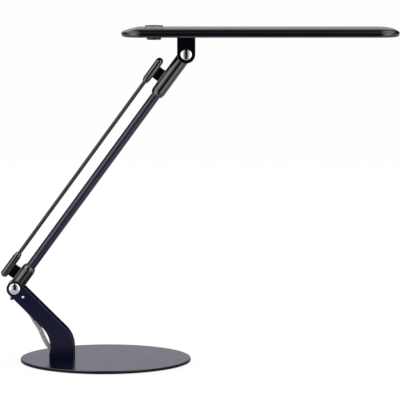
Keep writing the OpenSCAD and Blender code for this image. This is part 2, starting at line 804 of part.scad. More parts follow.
module cover_plan(gap, h) {
    x0 = -head_back + cover_inset - gap;
    l = cover_l + 2 * gap;
    w = cover_w + 2 * gap;
    r = cover_r + gap;
    translate([x0 + r, -w / 2, 0]) cube([l - 2 * r, w, h]);
    translate([x0, -w / 2 + r, 0]) cube([l, w - 2 * r, h]);
    for (x = [x0 + r, x0 + l - r], y = [-w / 2 + r, w / 2 - r]) translate([x, y, 0])
        cylinder(r = r, h = h);
}

module cover_screw_shafts(extra) {
    for (p = cover_screw_at) translate([p[0], p[1], 0]) cylinder(r = cover_screw_r + extra, h = cover_screw_l);
}

module cover_screw_heads() {
    for (p = cover_screw_at) translate([p[0], p[1], 0])
        cylinder(r1 = 2 * cover_screw_r, r2 = cover_screw_r, h = screw_head_h);
}

module control_axis() { translate([control_x, 0, 0]) children(); }

// Top shell: crowned outside, hollow inside, with screw bosses and ribs over the light panel
module head_shell() {
    color(navy_black) at_head() difference() {
        union() {
            difference() {
                outer_slab();
                ramp_cut(0);
                difference() {
                    inner_slab();
                    ramp_cut(shell_t);
                }
                translate([0, 0, -1]) cover_plan(cover_gap, cover_t + 1.01);
            }
            intersection() {
                difference() { outer_slab(); ramp_cut(0); }
                union() {
                    for (p = cover_screw_at) translate([p[0], p[1], cover_t + p[2]])
                        cylinder(r = boss_r, h = head_t - shell_t / 2 - cover_t - p[2]);
                    for (i = [0:rib_count - 1])
                        translate([panel_start + panel_l * (i + 1) / (rib_count + 1), -rib_w / 2, stack_top])
                            cube([rib_t, rib_w, head_t - shell_t / 2 - stack_top]);
                }
            }
        }
        cover_screw_shafts(0);
        control_axis() cylinder(r = button_r + button_gap, h = 2 * head_t);
    }
}

module panel_window(gap, h) {
    translate([panel_start + panel_rim + gap, -panel_w / 2 + panel_rim + gap, 0])
        cube([panel_l - 2 * (panel_rim + gap), panel_w - 2 * (panel_rim + gap), h]);
}

// Bottom cover: carries the diffuser, the driver board's posts and the knob's opening
module bottom_cover() {
    color(navy_black) at_head() difference() {
        union() {
            cover_plan(0, cover_t);
            for (p = board_screw_at) translate([p[0], p[1], 0]) cylinder(r = post_r, h = board_z);
        }
        translate([0, 0, -1]) panel_window(0, cover_t + 2);
        cover_screw_shafts(0);
        cover_screw_heads();
        bracket_screw_shafts();
        translate([0, 0, -1]) cylinder(r = wire_hole_r, h = cover_t + 2);
        control_axis() translate([0, 0, -1]) cylinder(r = shaft_r + 0.5, h = cover_t + 2);
        for (p = board_screw_at) translate([p[0], p[1], 1]) cylinder(r = board_screw_r, h = board_z);
    }
}

module cover_screws() {
    color(steel) at_head() difference() {
        union() { cover_screw_shafts(0); cover_screw_heads(); }
        for (p = cover_screw_at) translate([p[0], p[1], -1]) for (a = [0, 90]) rotate(a)
            translate([-1.4, -0.25, 0]) cube([2.8, 0.5, 1.6]);
    }
}

module diffuser() {
    color(opal) at_head() {
        translate([panel_start, -panel_w / 2, cover_t]) cube([panel_l, panel_w, diffuser_t]);
        translate([0, 0, window_step]) panel_window(window_gap, cover_t - window_step);
    }
}

module panel_sheet(z, t) { translate([panel_start, -panel_w / 2, z]) cube([panel_l, panel_w, t]); }

module light_guide() { color(clear) at_head() panel_sheet(guide_z, guide_t); }

module reflector() { color("#f7f7f7") at_head() panel_sheet(reflector_z, reflector_t); }

module heat_spreader() { color("#b8babd") at_head() panel_sheet(spreader_z, spreader_t); }

module led_strips() {
    color("#e8e8e2") at_head() for (side = [0, 1]) mirror([0, side, 0])
        translate([panel_start, strip_y, cover_t]) cube([panel_l, strip_t, strip_h]);
}

module leds() {
    color("#f3e3a0") at_head() for (side = [0, 1]) mirror([0, side, 0]) for (i = [0:led_count - 1])
        translate([panel_start + led_end + i * led_pitch - led_l / 2, strip_y - led_t,
                   guide_z + (guide_t - led_h) / 2]) cube([led_l, led_t, led_h]);
}

// Flat flexes from the driver board round the mount plate to the ends of the LED strips
module led_flex() {
    x0 = board_x + board_l - flex_overlap;
    reach = strip_y + strip_t;
    color("#c77a2e") at_head() for (side = [0, 1]) mirror([0, side, 0])
        translate([0, 0, board_top]) linear_extrude(height = flex_t) polygon([
            [x0, flex_y], [panel_start, flex_y], [panel_start, reach],
            [panel_start - flex_w, reach], [panel_start - flex_w, flex_y + flex_w],
            [x0, flex_y + flex_w]]);
}

module driver_board() {
    color(board_green) at_head() difference() {
        translate([board_x, -board_w / 2, board_z]) cube([board_l, board_w, board_t]);
        for (p = board_screw_at) translate([p[0], p[1], 0]) cylinder(r = board_screw_r, h = 2 * board_z);
        control_axis() cylinder(r = shaft_r + 0.5, h = board_z + board_t / 2);
    }
}

// Coils, capacitors and chips along the board's side away from the button
module board_parts() {
    color("#26262a") at_head() translate([board_x + board_parts_in, 0, board_top]) {
        translate([0, -2 * chip[1], 0]) cube([4, 6, 1.4]);
        translate([0, chip[1] / 2, 0]) cube([3, 5, 1]);
        for (side = [0, 1]) mirror([0, side, 0]) {
            translate([chip_x, board_side - chip[1], 0]) cube(chip);
            translate([coil_x, board_side - chip[1] / 2, 0]) cylinder(r = coil_r, h = coil_h);
        }
    }
}

module board_screws() {
    color(steel) at_head() for (p = board_screw_at) translate([p[0], p[1], 0]) {
        translate([0, 0, 1]) cylinder(r = board_screw_r, h = board_top - 1);
        translate([0, 0, board_top]) cylinder(r = 2 * board_screw_r, h = 1);
    }
}

module dimmer_body() {
    color("#30343a") at_head() control_axis() difference() {
        translate([-dimmer_body_w / 2, -dimmer_body_w / 2, dimmer_body_z])
            cube([dimmer_body_w, dimmer_body_w, dimmer_body_h]);
        cylinder(r = shaft_r + run_gap, h = 2 * board_z);
    }
}

module switch_body() {
    color("#202226") at_head() control_axis() translate([0, 0, board_top]) difference() {
        translate([-switch_w / 2, -switch_w / 2, 0]) cube([switch_w, switch_w, switch_h]);
        translate([0, 0, -1]) cylinder(r = plunger_r + run_gap, h = switch_h + 2);
    }
}

module lead_connector() {
    color("#ececec") at_head() translate([connector_x, -connector_w / 2, board_top])
        cube([connector_l, connector_w, connector_h]);
}

module head_lead() { color(clear) at_upper_pivot() twin_lead(head_route); }

// Power button: a dark cap on a bright skirt, kept in by a flange under the shell
module button_cap() {
    color(deep_black) at_head() control_axis() translate([0, 0, cap_base]) rotate_extrude()
        polygon([[0, 0], [button_r, 0], [button_r, button_cap_t * 0.45], [button_r - 0.5, button_cap_t * 0.85],
                 [button_r - 1.6, button_cap_t], [0, button_cap_t]]);
}

module button_skirt() {
    color(chrome) at_head() control_axis() difference() {
        union() {
            translate([0, 0, flange_top - flange_t]) cylinder(r = flange_r, h = flange_t);
            translate([0, 0, flange_top]) cylinder(r = button_r, h = cap_base - flange_top);
        }
        translate([0, 0, flange_top - flange_t - 1]) difference() {
            cylinder(r = button_r - skirt_wall, h = cap_base - 0.8 - flange_top + flange_t + 1);
            translate([0, 0, plunger_top - flange_top + flange_t + 1]) cylinder(r = button_post_r, h = head_t);
        }
    }
}

module switch_plunger() {
    color("#e6e6e6") at_head() control_axis() translate([0, 0, plunger_top - plunger_l])
        cylinder(r = plunger_r, h = plunger_l);
}

// Dimmer knob: a turned disc with a softened lower edge and a shaft socket
module dimmer_knob() {
    color(deep_black) at_head() control_axis() difference() {
        translate([0, 0, -knob_h]) rotate_extrude() polygon(concat([[0, 0]],
            arc([knob_r - 0.8, 0.8], 0.8, -90, 0, 4), [[knob_r, knob_h - knob_gap], [0, knob_h - knob_gap]]));
        translate([0, 0, -knob_gap - shaft_grip]) cylinder(r = shaft_r, h = shaft_grip + 1);
    }
}

module dimmer_shaft() {
    bottom = -knob_gap - shaft_grip;
    color(steel) at_head() control_axis() translate([0, 0, bottom])
        cylinder(r = shaft_r, h = board_z + 0.3 - bottom);
}

base_plate();
base_pad();
foot_screws();
stand();
foot_block();
dc_jack();
jack_pin();
lead_grommet();
stand_lead();
stop_pin();
lower_pivot_screws();
lower_washers();
lower_fitting();
stop_peg();
main_tube();
tube_set_screws();
tie_rod();
upper_fitting();
arm_lead();
head_bracket();
upper_pivot_screws();
upper_washers();
bracket_screws();
mount_plate();
head_shell();
bottom_cover();
cover_screws();
diffuser();
light_guide();
reflector();
heat_spreader();
led_strips();
leds();
led_flex();
driver_board();
board_parts();
board_screws();
dimmer_body();
switch_body();
lead_connector();
head_lead();
button_cap();
button_skirt();
switch_plunger();
dimmer_knob();
dimmer_shaft();
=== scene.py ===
"""Folding LED desk lamp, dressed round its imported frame.

The frame gives the bodies, the pivots and every node's place. Each sub-assembly is a class: it
models its own pieces, gives them their finishes and sets them riding on their bodies. Lengths are
in metres, written as millimetres times MM, +Z is up, and the head reaches along +X.
"""

import json
import logging
import math
from dataclasses import dataclass
from enum import Enum
from typing import Callable, ClassVar, Optional, Sequence

import bmesh
import bpy
from mathutils import Matrix, Vector

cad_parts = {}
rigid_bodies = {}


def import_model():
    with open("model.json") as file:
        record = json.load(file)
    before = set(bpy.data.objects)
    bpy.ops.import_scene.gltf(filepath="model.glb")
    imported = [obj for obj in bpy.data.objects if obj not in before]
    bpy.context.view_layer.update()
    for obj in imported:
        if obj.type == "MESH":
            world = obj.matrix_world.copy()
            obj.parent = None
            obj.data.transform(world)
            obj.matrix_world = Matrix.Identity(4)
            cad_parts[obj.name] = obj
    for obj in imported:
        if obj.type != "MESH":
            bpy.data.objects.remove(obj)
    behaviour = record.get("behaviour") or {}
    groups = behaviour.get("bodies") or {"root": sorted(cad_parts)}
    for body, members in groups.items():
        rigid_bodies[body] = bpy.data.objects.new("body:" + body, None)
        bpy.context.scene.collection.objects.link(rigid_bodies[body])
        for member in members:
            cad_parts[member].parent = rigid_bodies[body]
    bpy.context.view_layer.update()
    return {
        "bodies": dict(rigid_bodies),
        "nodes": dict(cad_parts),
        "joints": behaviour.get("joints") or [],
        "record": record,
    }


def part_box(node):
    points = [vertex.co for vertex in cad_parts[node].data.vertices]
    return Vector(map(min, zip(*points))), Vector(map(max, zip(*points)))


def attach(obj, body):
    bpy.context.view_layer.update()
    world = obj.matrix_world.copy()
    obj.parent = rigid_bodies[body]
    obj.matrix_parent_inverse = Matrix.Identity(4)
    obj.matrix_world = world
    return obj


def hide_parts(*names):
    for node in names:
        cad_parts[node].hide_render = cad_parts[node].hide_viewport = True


LOG = logging.getLogger("desk_lamp")
MM = 0.001
# Places that are closer than this count as one
TOUCH = 0.01 * MM
# Normals whose parts differ by less than this point the same way
ALIKE = 0.001

Point2 = tuple[float, float]
Point3 = tuple[float, float, float]
Colour = tuple[float, float, float, float]
Object = bpy.types.Object
Tree = bpy.types.NodeTree
Node = bpy.types.Node
Socket = bpy.types.NodeSocket


# Workbench: the operators a modeller uses, with picks by place and normal


class Element(Enum):
    """What a pick in edit mode selects."""

    EDGES = "EDGE"
    FACES = "FACE"


def leave_only(obj: Object) -> None:
    """Leaves one object selected and active.

    Args:
        obj: the object.
    """
    bpy.ops.object.select_all(action="DESELECT")
    obj.select_set(True)
    bpy.context.view_layer.objects.active = obj


@dataclass
class Shaping:
    """Edit mode on one object, as a context manager."""

    obj: Object

    def __enter__(self) -> "Shaping":
        """Opens edit mode with all of the object picked.

        Returns:
            This bench.
        """
        leave_only(self.obj)
        bpy.ops.object.mode_set(mode="EDIT")
        bpy.ops.mesh.select_all(action="SELECT")
        return self

    def __exit__(self, *_: object) -> None:
        """Goes back to object mode."""
        bpy.ops.object.mode_set(mode="OBJECT")

    def pick(self, kind: Element, test: Callable[[object], bool]) -> None:
        """Selects the elements that pass a test, and nothing else.

        Args:
            kind: whether edges or faces are picked.
            test: takes a bmesh edge or face.
        """
        bpy.ops.mesh.select_mode(type=kind.value)
        bpy.ops.mesh.select_all(action="DESELECT")
        mesh = bmesh.from_edit_mesh(self.obj.data)
        for item in mesh.edges if kind is Element.EDGES else mesh.faces:
            if test(item):
                item.select_set(True)
        mesh.select_flush_mode()
        bmesh.update_edit_mesh(self.obj.data)

    def pull(self, x: float = 0.0, y: float = 0.0, z: float = 0.0) -> None:
        """Extrudes the picked region and moves it by x, y and z."""
        bpy.ops.mesh.extrude_region_move(TRANSFORM_OT_translate={"value": (x, y, z)})

    def tidy_normals(self) -> None:
        """Merges doubles and turns every face outwards."""
        bpy.ops.mesh.select_all(action="SELECT")
        bpy.ops.mesh.remove_doubles(threshold=0.1 * TOUCH)
        bpy.ops.mesh.normals_make_consistent(inside=False)


def settle(obj: Object, place: Optional[Matrix] = None) -> None:
    """Puts the object's place into its mesh, so that the object itself stays at the origin.

    Args:
        obj: the object.
        place: where it goes first, in the frame's axes.
    """
    if place is not None:
        obj.matrix_world = place @ obj.matrix_world
    leave_only(obj)
    bpy.ops.object.transform_apply(location=True, rotation=True, scale=True)


def started(name: str, operator: Callable, scale: Point3 = (1, 1, 1), **settings: object) -> Object:
    """Adds a primitive as the start of a piece.

    Args:
        name: the piece's name.
        operator: what adds the primitive.
        scale: what it is stretched by.
        settings: the operator's settings.

    Returns:
        The start, with its place in its mesh.
    """
    bpy.ops.object.select_all(action="DESELECT")
    operator(**settings)
    piece = bpy.context.object
    piece.name = piece.data.name = name
    piece.scale = scale
    settle(piece)
    return piece


def placed(name: str, data: bpy.types.ID) -> Object:
    """Puts new data into the scene.

    Args:
        name: the object's name.
        data: its mesh, camera or light.

    Returns:
        The object.
    """
    obj = bpy.data.objects.new(name, data)
    bpy.context.scene.collection.objects.link(obj)
    return obj


def arc(centre: Point2, radius: float, start: float, end: float, steps: int) -> list[Point2]:
    """Points on an arc.

    Args:
        centre: its centre.
        radius: its radius.
        start: the first point's angle in degrees.
        end: the last point's angle.
        steps: how many straight steps it has.

    Returns:
        The points, with both ends.
    """
    angles = [math.radians(start + (end - start) * i / steps) for i in range(steps + 1)]
    return [(centre[0] + radius * math.cos(a), centre[1] + radius * math.sin(a)) for a in angles]


def rounded(radius: float, low: float, high: float, edge: float, bore: float = 0.0) -> list[Point2]:
    """A cylinder's or tube's profile with its outer edges broken.

    Args:
        radius: its outer radius.
        low: where it starts.
        high: where it ends.
        edge: the chamfers' size.
        bore: a tube's inner radius.

    Returns:
        Radius and height of each ring.
    """
    outside = [(radius - edge, low), (radius, low + edge), (radius, high - edge),
               (radius - edge, high)]
    return [(bore, low), *outside, (bore, high)] if bore else outside


def turned(name: str, profile: Sequence[Point2], place: Optional[Matrix] = None, sides: int = 64,
           ring: bool = False) -> Object:
    """Turns a piece round Z, ring by ring, as on a lathe.

    Args:
        name: the piece's name.
        profile: each ring's radius and height. An end at radius 0 is closed to a point, and any
            other end by a flat face.
        place: where the piece goes then.
        sides: how many sides a ring has.
        ring: whether the profile closes on itself, as a washer's or a tube's does.

    Returns:
        The piece.
    """
    rings = [p for p in profile if p[0] > 0]
    piece = started(name, bpy.ops.mesh.primitive_circle_add, vertices=sides, radius=rings[0][0],
                    location=(0, 0, rings[0][1]))
    with Shaping(piece) as bench:
        for before, after in zip(rings, rings[1:] + (rings[:1] if ring else [])):
            bench.pull(z=after[1] - before[1])
            share = after[0] / before[0]
            bpy.ops.transform.resize(value=(share, share, 1))
        for end, last in () if ring else ((profile[0], rings[0]), (profile[-1], rings[-1])):
            bench.pick(Element.EDGES, lambda e, h=last[1]: e.is_boundary and all(
                abs(v.co.z - h) < TOUCH for v in e.verts))
            if end[0] > 0 or abs(end[1] - last[1]) < 0.1 * TOUCH:
                bpy.ops.mesh.edge_face_add()
            else:
                bench.pull(z=end[1] - last[1])
                bpy.ops.mesh.merge(type="CENTER")
        bench.tidy_normals()
    settle(piece, place)
    return piece


def slab(name: str, outline: Sequence[Point2], near: float, far: float) -> Object:
    """Fills an outline that lies in the X-Z plane and pulls it along Y.

    Args:
        name: the piece's name.
        outline: its corners as X and Z, in order.
        near: where it starts along Y.
        far: where it ends along Y.

    Returns:
        The closed slab.
    """
    piece = started(name, bpy.ops.mesh.primitive_circle_add, vertices=len(outline),
                    fill_type="NGON")
    for vertex, (x, z) in zip(piece.data.vertices, outline):
        vertex.co = (x, near, z)
    with Shaping(piece) as bench:
        bench.pull(y=far - near)
        bench.tidy_normals()
    return piece


def block(name: str, low: Point3, high: Point3) -> Object:
    """A cube fitted between two corners, as the start of a piece or a cutter.

    Args:
        name: its name.
        low: its lowest corner.
        high: its highest corner.

    Returns:
        The block.
    """
    size = [b - a for a, b in zip(low, high)]
    centre = [(a + b) / 2 for a, b in zip(low, high)]
    return started(name, bpy.ops.mesh.primitive_cube_add, size, size=1, location=centre)


def round_edges(obj: Object, top: bool, across: int, radius: float, segments: int) -> None:
    """Rounds a block's two upper or two lower edges that run one way.

    Args:
        obj: the block, which reaches above and below Z = 0.
        top: whether the upper edges are rounded.
        across: the axis they stand across, 0 for X and 1 for Y.
        radius: the rounding's radius.
        segments: how many faces it has.
    """
    with Shaping(obj) as bench:
        bench.pick(Element.EDGES, lambda e: all((v.co.z > 0) == top for v in e.verts)
                   and abs(e.verts[0].co[across] - e.verts[1].co[across]) < TOUCH)
        bpy.ops.mesh.bevel(offset=radius, segments=segments, affect="EDGES")
        bench.tidy_normals()


def finish_modifier(obj: Object, kind: str, **settings: object) -> None:
    """Adds a modifier, sets it and applies it.

    Args:
        obj: the object that gets it.
        kind: Blender's modifier type.
        settings: its properties by name.
    """
    modifier = obj.modifiers.new(kind.title(), kind)
    for name, value in settings.items():
        setattr(modifier, name, value)
    leave_only(obj)
    bpy.ops.object.modifier_apply(modifier=modifier.name)


def boolean(obj: Object, other: Object, operation: str = "DIFFERENCE") -> None:
    """Cuts away or, with UNION, welds on another object and removes it."""
    finish_modifier(obj, "BOOLEAN", object=other, operation=operation, solver="EXACT")
    bpy.data.objects.remove(other)


def drill(obj: Object, radius: float, start: float, end: float, place: Optional[Matrix] = None,
          sides: int = 40) -> None:
    """Drills a round hole.

    Args:
        obj: the piece.
        radius: the hole's radius.
        start: where it starts along Z.
        end: where it ends.
        place: where the drill goes then.
        sides: how many sides the hole has.
    """
    boolean(obj, turned("drill", [(radius, start), (radius, end)], place, sides))


def soften(obj: Object, width: float, segments: int, above: float) -> None:
    """Bevels the edges that are sharper than an angle in degrees."""
    finish_modifier(obj, "BEVEL", width=width, segments=segments, limit_method="ANGLE",
                    angle_limit=math.radians(above), use_clamp_overlap=True)


def join(name: str, parts: Sequence[Object]) -> Object:
    """Joins objects as loose parts of one piece.

    Args:
        name: the piece's name.
        parts: the objects.

    Returns:
        The piece.
    """
    leave_only(parts[0])
    for part in parts:
        part.select_set(True)
    bpy.ops.object.join()
    parts[0].name = name
    return parts[0]


def turn(degrees: float, axis: str) -> Matrix:
    """A turn round an axis."""
    return Matrix.Rotation(math.radians(degrees), 4, axis)


ALONG_X = turn(90, "Y")
ALONG_Y = turn(-90, "X")
TOWARDS_NEAR = turn(90, "X")
HALF_TURN = turn(180, "Z")


# Finishes


def linear(hex_colour: str) -> Colour:
    """Turns an sRGB hex colour into the linear value that a socket takes."""
    parts = [int(hex_colour[i:i + 2], 16) / 255 for i in (1, 3, 5)]
    return (*(c / 12.92 if c <= 0.04045 else ((c + 0.055) / 1.055) ** 2.4 for c in parts), 1.0)


def empty_tree(owner: bpy.types.ID) -> Tree:
    """Gives a material or world its own nodes, with none in it yet.

    Args:
        owner: the material or world.

    Returns:
        Its node tree.
    """
    owner.use_nodes = True
    owner.node_tree.nodes.clear()
    return owner.node_tree


def add_node(tree: Tree, kind: str, settings: Optional[dict] = None) -> Node:
    """Adds one node with its settings and links.

    Args:
        tree: the node tree.
        kind: the node's type, without the ShaderNode that each type starts with.
        settings: values by name. A socket, or a node's first output, is linked to the input of
            that name, "stops" are a colour ramp's positions with colours or grey levels, and any
            other value goes to the input of that name or, where there is none, to the property.

    Returns:
        The node.
    """
    node = tree.nodes.new("ShaderNode" + kind)
    for name, value in (settings or {}).items():
        if isinstance(value, (Node, Socket)):
            source = value.outputs[0] if isinstance(value, Node) else value
            tree.links.new(source, node.inputs[name])
        elif name == "stops":
            elements = node.color_ramp.elements
            elements.remove(elements[-1])
            for i, (at, shade) in enumerate(value):
                element = elements[0] if i == 0 else elements.new(at)
                element.position = at
                element.color = shade if isinstance(shade, tuple) else (shade, shade, shade, 1.0)
        elif isinstance(name, int) or name in node.inputs:
            node.inputs[name].default_value = value
        else:
            setattr(node, name, value)
    return node


class Grain(Enum):
    """The surface that a piece's making leaves: its node, output, stretch along X and settings."""

    ORANGE_PEEL = ("TexNoise", "Fac", 1.0, {"Detail": 2.0, "Roughness": 0.55})
    SPARK = ("TexNoise", "Fac", 1.0, {"Detail": 5.0, "Roughness": 0.55})
    BRUSHED = ("TexNoise", "Fac", 0.02, {"Detail": 5.0, "Roughness": 0.55})
    PORES = ("TexVoronoi", "Distance", 1.0, {})
    STRANDS = ("TexWave", "Fac", 1.0, {"bands_direction": "DIAGONAL"})


@dataclass(frozen=True)
class Finish:
    """One real surface: what it is made of, and what that gives the eye."""

    name: str
    colour: str
    roughness: float
    metallic: float = 0.0
    ior: float = 1.5
    transmission: float = 0.0
    grain: Optional[Grain] = None
    # The grain's size across and its depth, in millimetres
    grain_mm: Point2 = (1.0, 0.01)
    uneven: float = 0.04
    tint: str = ""
    CLOUD: ClassVar[float] = 35 * MM

    def material(self) -> bpy.types.Material:
        """Builds the material once, its gloss and tint drifting slowly over the surface.

        Returns:
            The material.
        """
        if self.name in bpy.data.materials:
            return bpy.data.materials[self.name]
        material = bpy.data.materials.new(self.name)
        tree = empty_tree(material)
        place = add_node(tree, "TexCoord").outputs["Object"]
        cloud = add_node(tree, "TexNoise", {
            "Scale": 1 / self.CLOUD, "Detail": 3.0, "Vector": place})
        gloss = add_node(tree, "MapRange", {
            "From Min": 0.3, "From Max": 0.7, "To Min": max(0.02, self.roughness - self.uneven),
            "To Max": min(1.0, self.roughness + self.uneven), "Value": cloud})
        colour = linear(self.colour)
        if self.tint:
            stops = ((0.35, colour), (0.65, linear(self.tint)))
            colour = add_node(tree, "ValToRGB", {"Fac": cloud, "stops": stops})
        settings = {"Base Color": colour, "Roughness": gloss, "Metallic": self.metallic,
                    "Transmission Weight": self.transmission}
        if not self.metallic:
            settings["IOR"] = self.ior
        if self.grain:
            settings["Normal"] = self.emboss(tree, place)
        add_node(tree, "OutputMaterial", {"Surface": add_node(tree, "BsdfPrincipled", settings)})
        return material

    def emboss(self, tree: Tree, place: Socket) -> Node:
        """Makes the grain a bump.

        Args:
            tree: the material's nodes.
            place: the object coordinates.

        Returns:
            The bump.
        """
        kind, output, stretch, settings = self.grain.value
        size, depth = (value * MM for value in self.grain_mm)
        scale = 1 / size
        if self.grain is Grain.STRANDS:
            place = add_node(tree, "UVMap", {"uv_map": TwinLead.UV_NAME})
            scale = MM / size
        if stretch != 1.0:
            place = add_node(tree, "Mapping", {"Scale": (stretch, 1.0, 1.0), "Vector": place})
        pattern = add_node(tree, kind, {**settings, "Scale": scale, "Vector": place})
        return add_node(tree, "Bump", {"Strength": 1.0, "Distance": depth,
                                       "Height": pattern.outputs[output]})


# Powder-coated sheet steel, baked satin: near-black navy, hardly reflecting face on
NAVY_PAINT = Finish("satin_powder_coat", "#111129", 0.2, ior=1.25, grain=Grain.ORANGE_PEEL,
                    grain_mm=(0.9, 0.002), uneven=0.02, tint="#13132f")
# The same navy sprayed on drawn tube: glossier, with two long soft streaks
TUBE_PAINT = Finish("sprayed_navy_lacquer", "#13132c", 0.2, uneven=0.02, tint="#14142f")
# The same coat on the flat base, levelled: it mirrors softly at a low angle
BASE_PAINT = Finish("levelled_powder_coat", "#08081a", 0.2, ior=1.56, grain=Grain.ORANGE_PEEL,
                    grain_mm=(1.6, 0.001), uneven=0.012, tint="#09091b")
# The plate's rim faces: a duller copy of the same coat that reflects little, so the rim renders
# deep black
RIM_PAINT = Finish("dull_rim_powder_coat", "#0b0b12", 0.42, ior=1.2, uneven=0.03, tint="#0d0d14")
# Die-cast zinc with a gloss black stove enamel: deep black with long, crisp glints
BLACK_ENAMEL = Finish("stoved_black_enamel", "#030305", 0.11, ior=1.74, grain=Grain.ORANGE_PEEL,
                      grain_mm=(1.4, 0.002), uneven=0.02)
# Bright-drawn steel rod, chemically blackened: neutral charcoal with a soft streak
BLACK_STEEL = Finish("blackened_steel", "#0e0f11", 0.3, ior=1.55, uneven=0.03, tint="#111214")
# Injection-moulded ABS from a polished tool, painted: smooth, with a soft sheen
SHELL_PAINT = Finish("painted_abs", "#05050f", 0.15, ior=1.62, uneven=0.015, tint="#060612")
# Moulded ABS with a fine spark-eroded texture: black, matt, with a dull grey sheen
TEXTURED_ABS = Finish("spark_textured_abs", "#131317", 0.55, grain=Grain.SPARK,
                      grain_mm=(0.5, 0.02))
# Polished moulded ABS: piano black, which mirrors its surroundings sharply
GLOSS_ABS = Finish("polished_black_abs", "#040405", 0.09, uneven=0.02)
# The same with a thin rubbery lacquer: black, with a glint along its sides only
SOFT_TOUCH = Finish("soft_touch_lacquer", "#050506", 0.08, ior=1.3, uneven=0.02)
# Charcoal ABS from a lightly blasted tool: an even dark grey with no glint
SATIN_ABS = Finish("satin_charcoal_abs", "#4d4f53", 0.5, ior=1.4, uneven=0.02, tint="#515357")
# Nickel-chrome plate on turned steel: a mirror
CHROME = Finish("bright_chrome_plate", "#c8cbcf", 0.07, metallic=1.0, uneven=0.02)
# ABS sprayed with silver lacquer: an even pale grey all round
SILVER_LACQUER = Finish("silver_lacquer", "#b2b5bb", 0.55, metallic=0.3, uneven=0.02)
# Zinc-plated steel: bright grey with a dull grain
ZINC_STEEL = Finish("zinc_plated_steel", "#a3a6ab", 0.35, metallic=1.0, grain=Grain.SPARK,
                    grain_mm=(0.6, 0.006))
# Milled aluminium sheet: pale, with the mill's long lines
MILL_ALUMINIUM = Finish("mill_aluminium", "#b9bbbf", 0.4, metallic=1.0, grain=Grain.BRUSHED,
                        grain_mm=(0.5, 0.006))
# Turned brass, untreated: warm and slightly dull
BRASS = Finish("turned_brass", "#c39a4e", 0.28, metallic=1.0)
# Unfilled nylon: milky white that lets a little light in
NYLON = Finish("natural_nylon", "#dcdcd4", 0.42, ior=1.53, transmission=0.1, uneven=0.06)
# Closed-cell EVA foam: dark grey, quite matt, with fine cells
FOAM = Finish("eva_foam", "#242427", 0.92, grain=Grain.PORES, grain_mm=(0.5, 0.03), tint="#2b2b2f")
# Opal acrylic: milk white with a satin face that hides the light guide
OPAL = Finish("opal_acrylic", "#eeeeea", 0.4, ior=1.49, transmission=0.15)
# Cast acrylic: clear, with polished faces
CLEAR_ACRYLIC = Finish("clear_acrylic", "#f2f7f8", 0.05, ior=1.49, transmission=0.95, uneven=0.02)
# White PET reflector film: flat bright white
WHITE_FILM = Finish("white_pet_film", "#f2f2f2", 0.5)
# Epoxy-glass board under green solder mask: glossy, with the weave showing
CIRCUIT_BOARD = Finish("green_solder_mask", "#1d5536", 0.32, grain=Grain.SPARK,
                       grain_mm=(0.7, 0.01), tint="#23613e")
# Filled epoxy moulding compound: charcoal, finely matt
EPOXY_BLACK = Finish("black_epoxy_compound", "#222226", 0.5, grain=Grain.SPARK,
                     grain_mm=(0.4, 0.008))
# White solder mask on the LED boards: bright, faintly rough
WHITE_MASK = Finish("white_solder_mask", "#e6e6e0", 0.35, grain=Grain.SPARK, grain_mm=(0.6, 0.006))
# Phosphor-filled silicone over the LED chips: warm yellow, slightly soft
PHOSPHOR = Finish("led_phosphor", "#efdf9c", 0.45, tint="#f2e6b0")
# Polyimide film: amber, glossy and thin
POLYIMIDE = Finish("polyimide_film", "#b86f26", 0.25, ior=1.7, tint="#c77c31")
# Unfilled white nylon, moulded: an even satin white
WHITE_PLASTIC = Finish("white_nylon_66", "#e4e4e0", 0.45)
# Plasticised PVC, clear: glassy at the edges, with the strands showing through
PVC = Finish("clear_pvc", "#eceeed", 0.18, transmission=0.62, uneven=0.03)
# Tinned copper strands in a slow twist: grey with fine slanting lines
TINNED_STRANDS = Finish("tinned_strands", "#86898c", 0.5, metallic=0.4, grain=Grain.STRANDS,
                        grain_mm=(0.45, 0.05))

CARRIED_OVER: dict[Finish, tuple[str, ...]] = {
    ZINC_STEEL: ("foot_screws", "tube_set_screws", "bracket_screws", "mount_plate", "cover_screws",
                 "board_screws", "dimmer_shaft"),
    TEXTURED_ABS: ("foot_block", "lead_grommet", "bottom_cover"),
    EPOXY_BLACK: ("board_parts", "dimmer_body", "switch_body"),
    WHITE_PLASTIC: ("lead_connector", "switch_plunger"), PVC: ("arm_lead", "head_lead"),
    GLOSS_ABS: ("dc_jack",), BRASS: ("jack_pin",), OPAL: ("diffuser",),
    CLEAR_ACRYLIC: ("light_guide",), WHITE_FILM: ("reflector",), PHOSPHOR: ("leds",),
    MILL_ALUMINIUM: ("heat_spreader",), WHITE_MASK: ("led_strips",), POLYIMIDE: ("led_flex",),
    CIRCUIT_BOARD: ("driver_board",),
}


def dress(piece: Object, finishes: Sequence[Finish], body: str, slot: str, *nodes: str,
          angle: float = 35.0) -> None:
    """Shades a finished piece, gives it its finishes and body and hides the nodes it stands for.

    Args:
        piece: the piece.
        finishes: its finishes, in the order of its faces' material numbers.
        body: the body it rides on.
        slot: the record's material slot; not used.
        nodes: the CAD nodes it replaces.
        angle: below how many degrees its faces meet smoothly. Large faces stay flat.
    """
    leave_only(piece)
    bpy.ops.object.shade_smooth_by_angle(angle=math.radians(angle))
    finish_modifier(piece, "WEIGHTED_NORMAL", keep_sharp=True, weight=80)
    numbers = [face.material_index for face in piece.data.polygons]
    piece.data.materials.clear()
    for finish in finishes:
        piece.data.materials.append(finish.material())
    piece.data.polygons.foreach_set("material_index", numbers)
    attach(piece, body)
    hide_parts(*nodes)
    LOG.info("%s: %d faces, %s", piece.name, len(numbers), finishes[0].name)


